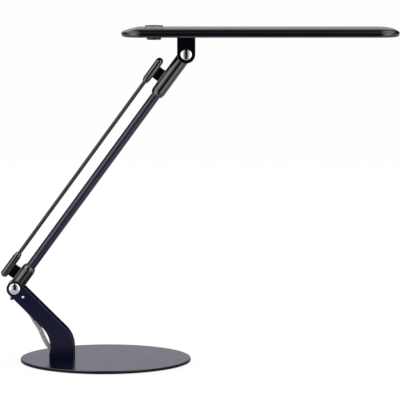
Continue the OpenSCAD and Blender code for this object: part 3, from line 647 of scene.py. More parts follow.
@dataclass(frozen=True)
class Places:
    """Where the frame puts the pivots, the controls and the base's top."""

    lower_pivot: Vector
    upper_pivot: Vector
    control_axis: Vector
    base_top: float

    @classmethod
    def from_frame(cls, frame: dict) -> "Places":
        """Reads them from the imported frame.


        Returns:
            The places.
        """
        at = {joint["name"]: Vector(joint["pos_m"])
              for joint in frame["joints"] if "pos_m" in joint}
        return cls(at["arm_tilt"], at["head_tilt"], at["dimmer_turn"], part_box("base_plate")[1].z)

    @property
    def arm_length(self) -> float:
        """Distance between the two pivots."""
        return (self.upper_pivot - self.lower_pivot).length

    @property
    def arm(self) -> Matrix:
        """Works out the arm's own axes.

        Returns:
            X to the upper pivot and Z towards the tie rod, from the lower pivot.
        """
        way = self.upper_pivot - self.lower_pivot
        lean = -math.atan2(way.z, way.x)
        return Matrix.Translation(self.lower_pivot) @ Matrix.Rotation(lean, 4, "Y")

    @property
    def arm_top(self) -> Matrix:
        """The same axes at the upper pivot, turned to look back down the arm."""
        return self.arm @ Matrix.Translation((self.arm_length, 0, 0)) @ HALF_TURN


# Base and stand


@dataclass
class BasePlate:
    """Round steel plate on a thin foam pad."""

    edge: float = 0.8 * MM
    pad_inset: float = 4 * MM
    pad_edge: float = 0.15 * MM
    screw_r: float = 2.5 * MM
    sink: float = 0.7
    # Below which normal Z the plate's outer faces belong to its rim
    rim_slope: float = 0.4

    def build(self) -> None:
        """Models the plate, with its two countersunk holes, and the pad."""
        low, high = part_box("base_plate")
        radius, edge = (high.x - low.x) / 2, self.edge
        plate = turned("base_plate_dressed", arc((radius - edge, low.z + edge), edge, -90, 0, 5)
                       + arc((radius - edge, high.z - edge), edge, 0, 90, 5), sides=192)
        screws_low, screws_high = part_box("foot_screws")
        head = (screws_high.x - screws_low.x) / 2
        spread = (screws_high.y - screws_low.y) / 2 - head
        sunk = [(head, low.z), (self.screw_r, low.z + self.sink * (high.z - low.z)),
                (self.screw_r, high.z + edge)]
        for side in (-1, 1):
            place = Matrix.Translation(((screws_low.x + screws_high.x) / 2, side * spread, 0))
            boolean(plate, turned("hole", sunk, place, sides=32))
        for face in plate.data.polygons:
            rim = face.normal.z < self.rim_slope and face.center.xy.length > radius - 2 * edge
            face.material_index = int(rim)
        dress(plate, [BASE_PAINT, RIM_PAINT], "base", "base_paint", "base_plate")

        low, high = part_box("base_pad")
        pad = turned("base_pad_dressed",
                     rounded(radius - self.pad_inset, low.z, high.z, self.pad_edge), sides=128)
        dress(pad, [FOAM], "base", "foam", "base_pad")


@dataclass
class Stand:
    """Bent steel channel: two cheeks and a spine set back between them, open to the rear."""

    places: Places
    foot_back: float = 50.6 * MM
    foot_w: float = 28 * MM
    foot_flare: float = 1.4 * MM
    flare_low: float = 6 * MM
    flare_high: float = 12 * MM
    leg_w: float = 19 * MM
    leg_angle: float = 45.0
    bend_r: float = 33 * MM
    sheet: float = 2 * MM
    half_width: float = 12 * MM
    front_round: float = 1.6 * MM
    spine_start: float = 16.5 * MM
    leg_recess: float = 2.5 * MM
    leg_web: float = 2 * MM
    foot_recess: float = 1 * MM
    foot_web: float = 1 * MM
    weld: float = 0.1 * MM
    pin_at: float = 13.9 * MM
    pin_r: float = 1.85 * MM
    pin_dome: float = 0.45
    pivot_bore: float = 4 * MM
    cut_edge: float = 0.25 * MM
    bend_steps: int = 16
    end_steps: int = 24
    # How many of the eye's corners the rounded front edge runs on over
    eye_front: int = 16

    def __post_init__(self) -> None:
        """Works out the leg's way and the bend's two centres."""
        a = math.radians(self.leg_angle)
        self.down = Vector((math.cos(a), -math.sin(a)))
        self.out = Vector((math.sin(a), math.cos(a)))
        self.turn = 90 - self.leg_angle
        self.pivot = Vector((self.places.lower_pivot.x, self.places.lower_pivot.z))
        self.front_x = self.foot_w / 2 - self.foot_back
        self.rear_x = -self.foot_back - self.foot_w / 2
        bend_z = self.pivot.y - (-self.foot_back - self.pivot.x) * math.tan(a)
        lift = self.bend_r * math.tan(math.radians(self.turn / 2))
        rise = (self.leg_w / 2 - self.foot_w / 2 * math.sin(a)) / math.cos(a)
        self.front_centre = (self.front_x - self.bend_r, bend_z + rise - lift)
        self.rear_centre = (self.rear_x - self.bend_r, bend_z - rise - lift)

    def outline(self) -> list[Point2]:
        """A cheek's side outline.

        Returns:
            Its corners, from the front bend by the foot and the rear bend to the eye.
        """
        base, rear = self.places.base_top, self.rear_x - self.foot_flare
        foot = [(self.front_x, base), (rear, base), (rear, base + self.flare_low),
                (self.rear_x, base + self.flare_high)]
        return (arc(self.front_centre, self.bend_r, self.turn, 0, self.bend_steps) + foot
                + arc(self.rear_centre, self.bend_r, 0, self.turn, self.bend_steps)
                + arc(tuple(self.pivot), self.leg_w / 2, 270 - self.leg_angle, 90 - self.leg_angle,
                      self.end_steps))

    def spine_line(self, leg_depth: float, foot_depth: float) -> list[Point2]:
        """A line that runs behind the cheeks' front edge.

        Args:
            leg_depth: how far behind it along the leg.
            foot_depth: how far behind it at the foot.

        Returns:
            Its points, from the leg's upper end to the base.
        """
        line = [tuple(self.pivot + self.spine_start * self.down
                      + (self.leg_w / 2 - leg_depth) * self.out)]
        for i in range(self.bend_steps + 1):
            share = i / self.bend_steps
            reach = self.bend_r - (leg_depth + (foot_depth - leg_depth) * share)
            line += arc(self.front_centre, reach, self.turn * (1 - share), 0, 1)[:1]
        return line + [(self.front_x - foot_depth, self.places.base_top)]

    def cheek(self, side: int) -> Object:
        """One side wall, its front edge well rounded on the outside.

        Args:
            side: -1 for the near one, 1 for the far one.

        Returns:
            The cheek.
        """
        inner, outer = side * (self.half_width - self.sheet), side * self.half_width
        outline = self.outline()
        front = [Vector(p) for p in outline[-self.eye_front:] + outline[:self.bend_steps + 2]]
        cheek = slab("cheek", outline, inner, outer)
        with Shaping(cheek) as bench:
            bench.pick(Element.EDGES, lambda e: all(abs(v.co.y - outer) < TOUCH and any(
                (v.co.xz - corner).length < TOUCH for corner in front) for v in e.verts))
            bpy.ops.mesh.bevel(offset=self.front_round, segments=6, affect="EDGES",
                               clamp_overlap=False)
            bench.tidy_normals()
        return cheek

    def build(self) -> None:
        """Joins two cheeks, the spine set back between them and the foot's tab, and bores it."""
        channel = self.cheek(-1)
        channel.name = "stand_dressed"
        inside, base = self.half_width - self.sheet + self.weld, self.places.base_top
        front = self.spine_line(self.leg_recess, self.foot_recess)
        back = self.spine_line(self.leg_recess + self.leg_web, self.foot_recess + self.foot_web)
        spine = slab("spine", front + back[::-1], -inside, inside)
        ahead = self.front_x - self.foot_recess - 0.5 * self.foot_web
        tab = block("tab", (self.rear_x + self.sheet, -inside, base),
                    (ahead, inside, base + self.sheet))
        for part in (self.cheek(1), spine, tab):
            boolean(channel, part, "UNION")
        for along, radius in ((0.0, self.pivot_bore), (self.pin_at, self.pin_r)):
            at = self.pivot + along * self.down
            drill(channel, radius, -2 * self.half_width, 2 * self.half_width,
                  Matrix.Translation((at.x, 0, at.y)) @ ALONG_Y, sides=48)
        soften(channel, self.cut_edge, 2, 50)
        dress(channel, [NAVY_PAINT], "base", "navy_paint", "stand", angle=50)
        self.stop_pin()

    def stop_pin(self) -> None:
        """Turns the cross pin with its two domed ends."""
        low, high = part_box("stop_pin")
        radius = (high.x - low.x) / 2
        rise = self.pin_dome * radius
        ball = (radius ** 2 + rise ** 2) / (2 * rise)
        half = math.degrees(math.asin(radius / ball))
        profile = ([(0, low.y)] + arc((0, low.y + ball), ball, -88, half - 90, 6)
                   + arc((0, high.y - ball), ball, 90 - half, 88, 6) + [(0, high.y)])
        middle = Matrix.Translation(((low.x + high.x) / 2, 0, (low.z + high.z) / 2))
        pin = turned("stop_pin_dressed", profile, middle @ ALONG_Y, 40)
        dress(pin, [CHROME], "base", "chrome", "stop_pin")


@dataclass
class TwinLead:
    """Flat two-core lead that bows out of the stand's open rear."""

    width: float = 5.4 * MM
    core_r: float = 1.35 * MM
    core_sides: int = 14
    # The groove's half height where the two cores meet, as a share of their reach
    groove: float = 0.94
    strand_r: float = 0.65 * MM
    smoothing: int = 4
    UV_NAME: ClassVar[str] = "lead"
    # X, Y and Z of the centre line in millimetres, and the twist of the flat side in degrees
    route: tuple[tuple[float, float, float, float], ...] = (
        (-104.4, 0, 79.5, 90), (-103.8, 0, 77, 90), (-103, 0, 74.5, 90), (-101, -0.5, 71.5, 84),
        (-98, -1, 68, 72), (-94.5, -1.5, 63.5, 55), (-90, -2, 58.5, 38), (-86, -2.5, 53, 20),
        (-82.5, -3, 47, 8), (-79, -3, 41.5, 0), (-76, -3.5, 36, 0), (-73.5, -3.5, 30, 0),
        (-70.5, -3.5, 24, 0), (-67.5, -3.5, 19, 0), (-64, -3.5, 15, 0), (-60.5, -3.5, 12.8, 0),
        (-58, -3.5, 12.2, 0), (-53, -3.5, 12.2, 0))

    def line(self) -> list[Vector]:
        """Draws one smooth curve through the route's points.

        Returns:
            Its points, with the twist as a fourth number.
        """
        knots = [Vector(p) for p in self.route]
        points = []
        for before, a, b, after in zip(knots[:1] + knots, knots, knots[1:], knots[2:] + knots[-1:]):
            for step in range(self.smoothing):
                t = step / self.smoothing
                points.append(0.5 * (2 * a + (b - before) * t + (2 * before - 5 * a + 4 * b - after)
                                     * t * t + (3 * a - before - 3 * b + after) * t ** 3))
        return points + [knots[-1]]

    def jacket(self) -> list[Point2]:
        """Two round cores side by side.

        Returns:
            The corners, as measures across and through the flat lead.
        """
        reach = self.width / 2 - self.core_r
        half = math.degrees(math.acos(min(1.0, reach / self.core_r * self.groove)))
        return (arc((reach, 0), self.core_r, -180 + half, 180 - half, self.core_sides)
                + arc((-reach, 0), self.core_r, half, 360 - half, self.core_sides))

    def sweep(self, mesh: bmesh.types.BMesh, section: Sequence[Point2], number: int) -> float:
        """Sweeps one section along the route, with UV in millimetres round it and along it.

        Args:
            mesh: what takes the faces.
            section: the section's corners in metres, in order.
            number: the faces' material.

        Returns:
            How long the route is.
        """
        line = self.line()
        places = [Vector(p[:3]) * MM for p in line]
        uv = mesh.loops.layers.uv[self.UV_NAME]
        rings, run = [], 0.0
        for i, (place, knot) in enumerate(zip(places, line)):
            along = places[min(i + 1, len(places) - 1)] - places[max(i - 1, 0)]
            side = Vector((-along.z, 0, along.x)).normalized()
            twist = math.radians(knot[3])
            flat = side * math.cos(twist) + Vector((0, math.sin(twist), 0))
            thick = Vector((0, math.cos(twist), 0)) - side * math.sin(twist)
            rings.append([mesh.verts.new(place + flat * u + thick * v) for u, v in section])
        pitch = (Vector(section[0]) - Vector(section[1])).length / MM
        faces = []
        for i, (lower, upper) in enumerate(zip(rings, rings[1:])):
            step = (places[i + 1] - places[i]).length
            for k in range(len(section)):
                n = (k + 1) % len(section)
                faces.append(mesh.faces.new((lower[k], lower[n], upper[n], upper[k])))
                shares = ((k, run), (k + 1, run), (k + 1, run + step), (k, run + step))
                for loop, (u, v) in zip(faces[-1].loops, shares):
                    loop[uv].uv = (u * pitch, v / MM)
            run += step
        for face in faces + [mesh.faces.new(rings[0][::-1]), mesh.faces.new(rings[-1])]:
            face.material_index = number
        return run

    def build(self) -> None:
        mesh = bmesh.new()
        mesh.loops.layers.uv.new(self.UV_NAME)
        run = self.sweep(mesh, self.jacket(), 0)
        reach = self.width / 2 - self.core_r
        for side in (-1, 1):
            self.sweep(mesh, arc((side * reach, 0), self.strand_r, 0, 330, 11), 1)
        bmesh.ops.recalc_face_normals(mesh, faces=mesh.faces)
        data = bpy.data.meshes.new("stand_lead_dressed")
        mesh.to_mesh(data)
        mesh.free()
        lead = placed("stand_lead_dressed", data)
        dress(lead, [PVC, TINNED_STRANDS], "base", "pvc", "stand_lead", angle=60)


# Pivots and arm


@dataclass
class Pivot:
    """One friction pivot: two domed stub screws and two nylon washers."""

    name: str
    body: str
    centre: Vector
    outer_wall: float
    shank_r: float = 4 * MM
    shank_end: float = 4.3 * MM
    shank_edge: float = 0.4 * MM
    cap_r: float = 6.55 * MM
    cap_rim: float = 0.9 * MM
    cap_dome: float = 1.3 * MM
    rim_round: float = 0.35 * MM
    washer_r: float = 9.3 * MM
    washer_t: float = 1 * MM
    washer_edge: float = 0.15 * MM
    wall: float = 10 * MM
    run_gap: float = 0.05 * MM

    def screw(self, way: Matrix) -> Object:
        """Turns one domed screw, from the shank's inner end out to the dome's crown.

        Args:
            way: turns Z to the way that the screw points.

        Returns:
            The screw.
        """
        r, round_r, wall, edge = self.cap_r, self.rim_round, self.outer_wall, self.shank_edge
        dome_r = (r ** 2 + self.cap_dome ** 2) / (2 * self.cap_dome)
        crown = wall + self.cap_rim + self.cap_dome
        slope = math.degrees(math.asin((r - round_r) / dome_r))
        profile = [(self.shank_r - edge, self.shank_end), (self.shank_r, self.shank_end + edge),
                   (self.shank_r, wall), (r - round_r, wall)]
        profile += arc((r - round_r, wall + round_r), round_r, -60, 0, 3)
        profile += arc((r - round_r, wall + self.cap_rim - round_r), round_r, 0, 60, 3)
        profile += arc((0, crown - dome_r), dome_r, 90 - slope, 88, 12) + [(0, crown)]
        return turned("screw", profile, Matrix.Translation(self.centre) @ way, sides=96)

    def build(self) -> None:
        """Models both screws and both washers."""
        screws = join(self.name + "_pivot_screws_dressed",
                      [self.screw(TOWARDS_NEAR), self.screw(ALONG_Y)])
        dress(screws, [CHROME], self.body, "chrome", self.name + "_pivot_screws", angle=40)
        ends = [sorted((side * self.wall, side * (self.wall - self.washer_t))) for side in (-1, 1)]
        bore = self.shank_r + self.run_gap
        washers = join(self.name + "_washers_dressed", [turned(
            "washer", rounded(self.washer_r, low, high, self.washer_edge, bore),
            Matrix.Translation(self.centre) @ ALONG_Y, 72, ring=True) for low, high in ends])
        dress(washers, [NYLON], self.body, "nylon", self.name + "_washers")


@dataclass
class ArmFitting:
    """Casting at one end of the arm: knuckle, sleeve, web and rod holder in one."""

    name: str
    place: Matrix
    sleeve_len: float
    nose: float
    exit_angle: float
    grub_way: Matrix
    knuckle_r: float = 7.3 * MM
    knuckle_half: float = 8.95 * MM
    knuckle_edge: float = 0.6 * MM
    sleeve_r: float = 8.05 * MM
    sleeve_root: float = 3 * MM
    mouth_len: float = 4.5 * MM
    mouth_depth: float = 1.5 * MM
    holder_r: float = 4.4 * MM
    holder_len: float = 34 * MM
    holder_taper: float = 5 * MM
    rod_gap: float = 20 * MM
    rod_r: float = 2.25 * MM
    rod_grip: float = 20 * MM
    tube_r: float = 5.5 * MM
    tube_seat: float = 12 * MM
    web_from: float = 7.9 * MM
    web_len: float = 15.2 * MM
    web_flare: float = 1.1 * MM
    web_half: float = 3 * MM
    wire_r: float = 3 * MM
    grub_r: float = 2 * MM
    grub_start: float = 4 * MM
    grub_back: float = 9 * MM
    overlap: float = 1 * MM
    run_out: float = 5 * MM
    voxel: float = 0.42 * MM

    def solids(self) -> list[Object]:
        """Models the forms that the casting flows together from, in the arm's axes.

        Returns:
            The knuckle, sleeve, holder and web.
        """
        length, shoulder = self.sleeve_len, self.sleeve_r - self.overlap
        knuckle = turned("knuckle", rounded(self.knuckle_r, -self.knuckle_half, self.knuckle_half,
                                            self.knuckle_edge), ALONG_Y)
        sleeve = turned("sleeve", [
            (self.knuckle_r - self.knuckle_edge, 0), (self.sleeve_r, self.sleeve_root),
            (self.sleeve_r, length - self.mouth_len),
            (self.sleeve_r - 0.5 * self.mouth_depth, length - 0.4 * self.mouth_len),
            (self.sleeve_r - self.mouth_depth, length)], ALONG_X)
        r, start, end = self.holder_r, self.nose, self.nose + self.holder_len
        holder = turned("holder", [(0, start)]
                        + [(x, start + r - z) for x, z in arc((0, 0), r, 82, 0, 10)]
                        + [(r, end - self.holder_taper), ((r + self.rod_r) / 2, end)],
                        Matrix.Translation((0, 0, self.rod_gap)) @ ALONG_X)
        low, high, flare = self.web_from, self.web_from + self.web_len, self.web_flare
        side = [(low, 0), (low - flare, shoulder), (low, shoulder + 2 * flare), (low, self.rod_gap)]
        web = slab("web", side + [(low + high - x, z) for x, z in side[::-1]],
                   -self.web_half, self.web_half)
        return [knuckle, sleeve, holder, web]

    def drill_all(self, body: Object) -> None:
        """Drills the tube's seat, the wire ways, the rod's seat and the grub screw's hole.

        Args:
            body: the casting.
        """
        drill(body, self.tube_r, self.tube_seat, self.sleeve_len + self.run_out, ALONG_X, 64)
        drill(body, self.wire_r, -self.overlap, self.tube_seat + self.overlap, ALONG_X)
        drill(body, self.wire_r, -self.overlap, 3 * self.knuckle_r,
              turn(-self.exit_angle, "Y") @ ALONG_X)
        start = self.nose + self.holder_len - self.rod_grip
        drill(body, self.rod_r, start, start + 2 * self.rod_grip,
              Matrix.Translation((0, 0, self.rod_gap)) @ ALONG_X)
        drill(body, self.grub_r, self.grub_start, 2 * self.sleeve_r,
              Matrix.Translation((self.sleeve_len - self.grub_back, 0, 0)) @ self.grub_way, 32)

    def build(self) -> None:
        """Joins the forms, lets them flow together, drills the casting and puts it in place."""
        body, *others = self.solids()
        for other in others:
            boolean(body, other, "UNION")
        finish_modifier(body, "REMESH", mode="VOXEL", voxel_size=self.voxel, use_smooth_shade=True)
        finish_modifier(body, "SMOOTH", factor=0.5, iterations=5)
        self.drill_all(body)
        settle(body, self.place)
        body.name = self.name + "_dressed"
        dress(body, [BLACK_ENAMEL], "arm", "black_plastic", self.name, angle=50)


@dataclass
class LowerFitting(ArmFitting):
    """The lower casting also has the tail lug that holds the stop peg."""

    peg_angle: float = 198.0
    lug_reach: float = 12.05 * MM
    lug_half: float = 2.45 * MM
    lug_root: float = 6.6 * MM
    lug_back: float = 7.1 * MM
    lug_y: float = 6.2 * MM

    def solids(self) -> list[Object]:
        """Adds the lug, beside the wire way.

        Returns:
            All the forms.
        """
        reach, half = self.lug_reach, self.lug_half
        forms = super().solids()
        lug = slab("lug", [(0, self.lug_root), (reach, half), (reach, -half),
                           (reach - 3 * half, -self.lug_back), (0, -self.lug_back)],
                   self.lug_y - half, self.lug_y + half)
        settle(lug, turn(-self.peg_angle, "Y"))
        return forms + [lug]


@dataclass
class Arm:
    """Tube and tie rod between two castings."""

    places: Places
    tube_wall: float = 1.2 * MM
    rod_from_low: float = 16.3 * MM
    rod_from_high: float = 35 * MM
    peg_r: float = 2 * MM
    peg_root: float = 7 * MM
    peg_tip: float = 14.4 * MM
    edge: float = 0.3 * MM

    def build(self) -> None:
        """Models the castings, the tube, the rod and the stop peg."""
        arm, length, edge = self.places.arm, self.places.arm_length, self.edge
        lower = LowerFitting("lower_fitting", arm, 31.4 * MM, 2.3 * MM, 230.0, ALONG_Y)
        upper = ArmFitting("upper_fitting", self.places.arm_top, 59.7 * MM, 21 * MM, 144.0,
                           TOWARDS_NEAR, web_from=30.2 * MM)
        lower.build()
        upper.build()
        tube = turned("main_tube_dressed", rounded(
            lower.tube_r, lower.tube_seat, length - upper.tube_seat, edge,
            lower.tube_r - self.tube_wall), arm @ ALONG_X, 96, ring=True)
        dress(tube, [TUBE_PAINT], "arm", "navy_paint", "main_tube")
        rod = turned("tie_rod_dressed",
                     rounded(lower.rod_r, self.rod_from_low, length - self.rod_from_high, edge),
                     arm @ Matrix.Translation((0, 0, lower.rod_gap)) @ ALONG_X, 48)
        dress(rod, [BLACK_STEEL], "arm", "navy_paint", "tie_rod")
        r, tip = self.peg_r, self.peg_tip
        peg = turned("stop_peg_dressed", [(r - edge, self.peg_root), (r, self.peg_root + edge)]
                     + arc((0, tip), r, 0, 82, 8) + [(0, tip + r)],
                     arm @ turn(-lower.peg_angle, "Y") @ Matrix.Translation((0, lower.lug_y, 0))
                     @ ALONG_X, 40)
        dress(peg, [BLACK_ENAMEL], "arm", "black_plastic", "stop_peg")


# Head


@dataclass
class HeadBracket:
    """Clevis under the head, with round-ended ears."""

    places: Places
    ear_half: float = 10.6 * MM
    ear_round: float = 0.9995
    half_width: float = 12.5 * MM
    slot_half: float = 10 * MM
    rise: float = 20.6 * MM
    bridge_at: float = 10.4 * MM
    wire_r: float = 3.6 * MM
    inside_round: float = 1.5 * MM
    edge: float = 0.5 * MM

    def build(self) -> None:
        """Rounds a block's lower end, cuts the slot between the ears and drills the wire hole."""
        r, half, slot = self.ear_half, self.half_width, self.slot_half
        bracket = block("head_bracket_dressed", (-r, -half, -r), (r, half, self.rise))
        round_edges(bracket, top=False, across=0, radius=self.ear_round * r, segments=20)
        gap = block("gap", (-2 * r, -slot, -2 * r), (2 * r, slot, self.bridge_at))
        round_edges(gap, top=True, across=1, radius=self.inside_round, segments=4)
        boolean(bracket, gap)
        soften(bracket, self.edge, 3, 40)
        drill(bracket, self.wire_r, 0, 2 * self.rise)
        settle(bracket, Matrix.Translation(self.places.upper_pivot))
        dress(bracket, [BLACK_ENAMEL], "head", "black_plastic", "head_bracket", angle=40)


@dataclass
class HeadShell:
    """Thin top shell with a crowned edge, swept corners and a ramp across the rear end."""

    places: Places
    corner_r: float = 23.5 * MM
    crown_w: float = 22 * MM
    crown_h: float = 5.8 * MM
    lower_edge_r: float = 3.5 * MM
    ramp_angle: float = 14.4
    ramp_len: float = 21 * MM
    ramp_round: float = 1.6 * MM
    wall: float = 1.5 * MM
    cover_inset: float = 5.35 * MM
    button_hole_r: float = 11.05 * MM
    hole_from: float = 4 * MM
    hole_len: float = 20 * MM
    # From which normal Z on a face counts as level
    level: float = 0.99
    corner_steps: int = 14
    crown_steps: int = 10
    edge_steps: int = 4

    def build(self) -> None:
        """Models the outside from its widest outline up and down, then gives it its wall."""
        low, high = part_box("head_shell")
        size, centre = high - low, (low + high) / 2
        widest = low.z + self.lower_edge_r
        shell = started("head_shell_dressed", bpy.ops.mesh.primitive_plane_add, (size.x, size.y, 1),
                        size=1, location=(centre.x, centre.y, widest))
        with Shaping(shell) as bench:
            bpy.ops.mesh.bevel(offset=self.corner_r, segments=self.corner_steps, affect="VERTICES")
            bpy.ops.mesh.select_all(action="SELECT")
            bench.pull(z=high.z - self.crown_h - low.z - self.lower_edge_r)
            bench.tidy_normals()
            bench.pick(Element.FACES, lambda f: f.normal.z > self.level)
            self.roll(self.crown_w, self.crown_h, self.crown_steps)
            bench.pick(Element.FACES, lambda f: f.normal.z < -self.level)
            self.roll(self.lower_edge_r, self.lower_edge_r, self.edge_steps)
            self.cut_ramp(bench)
            bench.pick(Element.FACES, lambda f: f.normal.z < -self.level)
            bpy.ops.mesh.inset(thickness=self.cover_inset - self.lower_edge_r, depth=0)
            bpy.ops.mesh.delete(type="FACE")
        finish_modifier(shell, "SOLIDIFY", thickness=self.wall, offset=-1.0, use_even_offset=True,
                        use_quality_normals=True)
        drill(shell, self.button_hole_r, self.hole_from, self.hole_from + self.hole_len,
              Matrix.Translation(self.places.control_axis), 96)
        dress(shell, [SHELL_PAINT], "head", "shell_plastic", "head_shell", angle=25)

    @staticmethod
    def roll(width: float, height: float, steps: int) -> None:
        """Insets the picked face ring by ring along a quarter of an ellipse.

        Args:
            width: how far the ellipse reaches in.
            height: how far it reaches out of the face.
            steps: how many rings it has.
        """
        before = (0.0, 0.0)
        for i in range(1, steps + 1):
            angle = math.radians(90 * i / steps)
            after = (width * (1 - math.cos(angle)), height * math.sin(angle))
            bpy.ops.mesh.inset(thickness=after[0] - before[0], depth=after[1] - before[1])
            before = after

    def cut_ramp(self, bench: Shaping) -> None:
        """Slices the rear end's top off on a slope and softens the line it leaves.

        Args:
            bench: the shell in edit mode.
        """
        low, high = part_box("head_shell")
        slope = math.radians(self.ramp_angle)
        bpy.ops.mesh.select_all(action="SELECT")
        bpy.ops.mesh.bisect(plane_co=(low.x + self.ramp_len, 0, high.z),
                            plane_no=(-math.sin(slope), 0, math.cos(slope)),
                            use_fill=True, clear_outer=True)
        bench.pick(Element.FACES, lambda f: abs(f.normal.x + math.sin(slope)) < ALIKE
                   and abs(f.normal.y) < ALIKE)
        bpy.ops.mesh.region_to_loop()
        bpy.ops.mesh.bevel(offset=self.ramp_round, segments=4, affect="EDGES", clamp_overlap=True)


@dataclass
class Controls:
    """Power button on the head's top and dimmer knob under it, on one axis."""

    places: Places
    button_r: float = 10.75 * MM
    cap_edge: float = 0.1 * MM
    cap_side: float = 0.35
    cap_round: float = 1.6 * MM
    skirt_edge: float = 0.3 * MM
    skirt_wall: float = 1.6 * MM
    skirt_roof: float = 0.8 * MM
    post_r: float = 3 * MM
    flange: float = 1 * MM
    knob_r: float = 8.5 * MM
    knob_edge: float = 0.8 * MM
    top_edge: float = 0.3 * MM

    def build(self) -> None:
        """Turns the button's dark cap, its bright skirt and the knob."""
        axis, r = Matrix.Translation((self.places.control_axis.x, 0, 0)), self.button_r
        low, high = (corner.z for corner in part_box("button_cap"))
        side, rise = low + self.cap_side * (high - low), (1 - self.cap_side) * (high - low)
        crown = [(r - self.cap_round * (1 - math.cos(a)), side + rise * math.sin(a))
                 for a in map(math.radians, range(15, 91, 15))]
        cap = turned("button_cap_dressed", [
            (r - self.cap_edge, low), (r, low + self.cap_edge), (r, side), *crown], axis, 96)
        dress(cap, [SATIN_ABS], "power_button", "black_plastic", "button_cap", angle=40)

        low, high = (corner.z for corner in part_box("button_skirt"))
        edge, inner, wide = self.skirt_edge, r - self.skirt_wall, r + self.skirt_wall
        post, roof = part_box("switch_plunger")[1].z, high - self.skirt_roof
        flange = low + self.flange
        skirt = turned("button_skirt_dressed", [
            (self.post_r, post), (self.post_r, roof), (inner, roof), (inner, low),
            (wide - edge, low), (wide, low + edge), (wide, flange - edge), (wide - edge, flange),
            (r, flange), (r, high - edge), (r - edge, high)], axis, 96)
        dress(skirt, [SILVER_LACQUER], "power_button", "silver_plastic", "button_skirt", angle=40)

        low, high = (corner.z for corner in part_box("dimmer_knob"))
        r, edge, top = self.knob_r, self.knob_edge, self.top_edge
        knob = turned("dimmer_knob_dressed", arc((r - edge, low + edge), edge, -90, 0, 6)
                      + arc((r - top, high - top), top, 0, 90, 3), axis, 96)
        dress(knob, [SOFT_TOUCH], "dimmer_knob", "black_plastic", "dimmer_knob", angle=40)


# Studio


class Span(Enum):
    """What a glow's width is measured along."""

    # Share of a half turn from behind the camera
    AROUND = "around"
    # How far to the side a direction points, from 0 to 1
    SIDEWAYS = "sideways"


@dataclass(frozen=True)
class Glow:
    """A bright part of the studio that only reflections see."""

    level: float
    span: Span
    # Position along the span and the share of the level there
    across: tuple[Point2, ...]
    # Sine of the elevation, halved and raised to run from 0 to 1, and the share there
    up: tuple[Point2, ...]


PANELS = Glow(2.8, Span.AROUND, (
    (0.03, 0.0), (0.05, 0.03), (0.085, 0.17), (0.13, 0.35), (0.17, 0.6), (0.205, 0.85), (0.3, 1.0),
    (0.38, 0.75), (0.44, 0.4), (0.5, 0.18), (0.56, 0.05), (0.61, 0.0)),
    ((0.0, 1.0), (0.9, 1.0), (0.97, 0.4)))
SWEEP = Glow(0.6, Span.AROUND, ((0.93, 0.0), (0.955, 1.0)),
             ((0.5, 0.78), (0.57, 1.0), (0.64, 1.0), (0.8, 0.0)))
STRIPS = Glow(1.4, Span.SIDEWAYS, ((0.06, 0.0), (0.15, 0.6), (0.26, 1.0)),
              ((0.76, 0.0), (0.86, 1.0)))


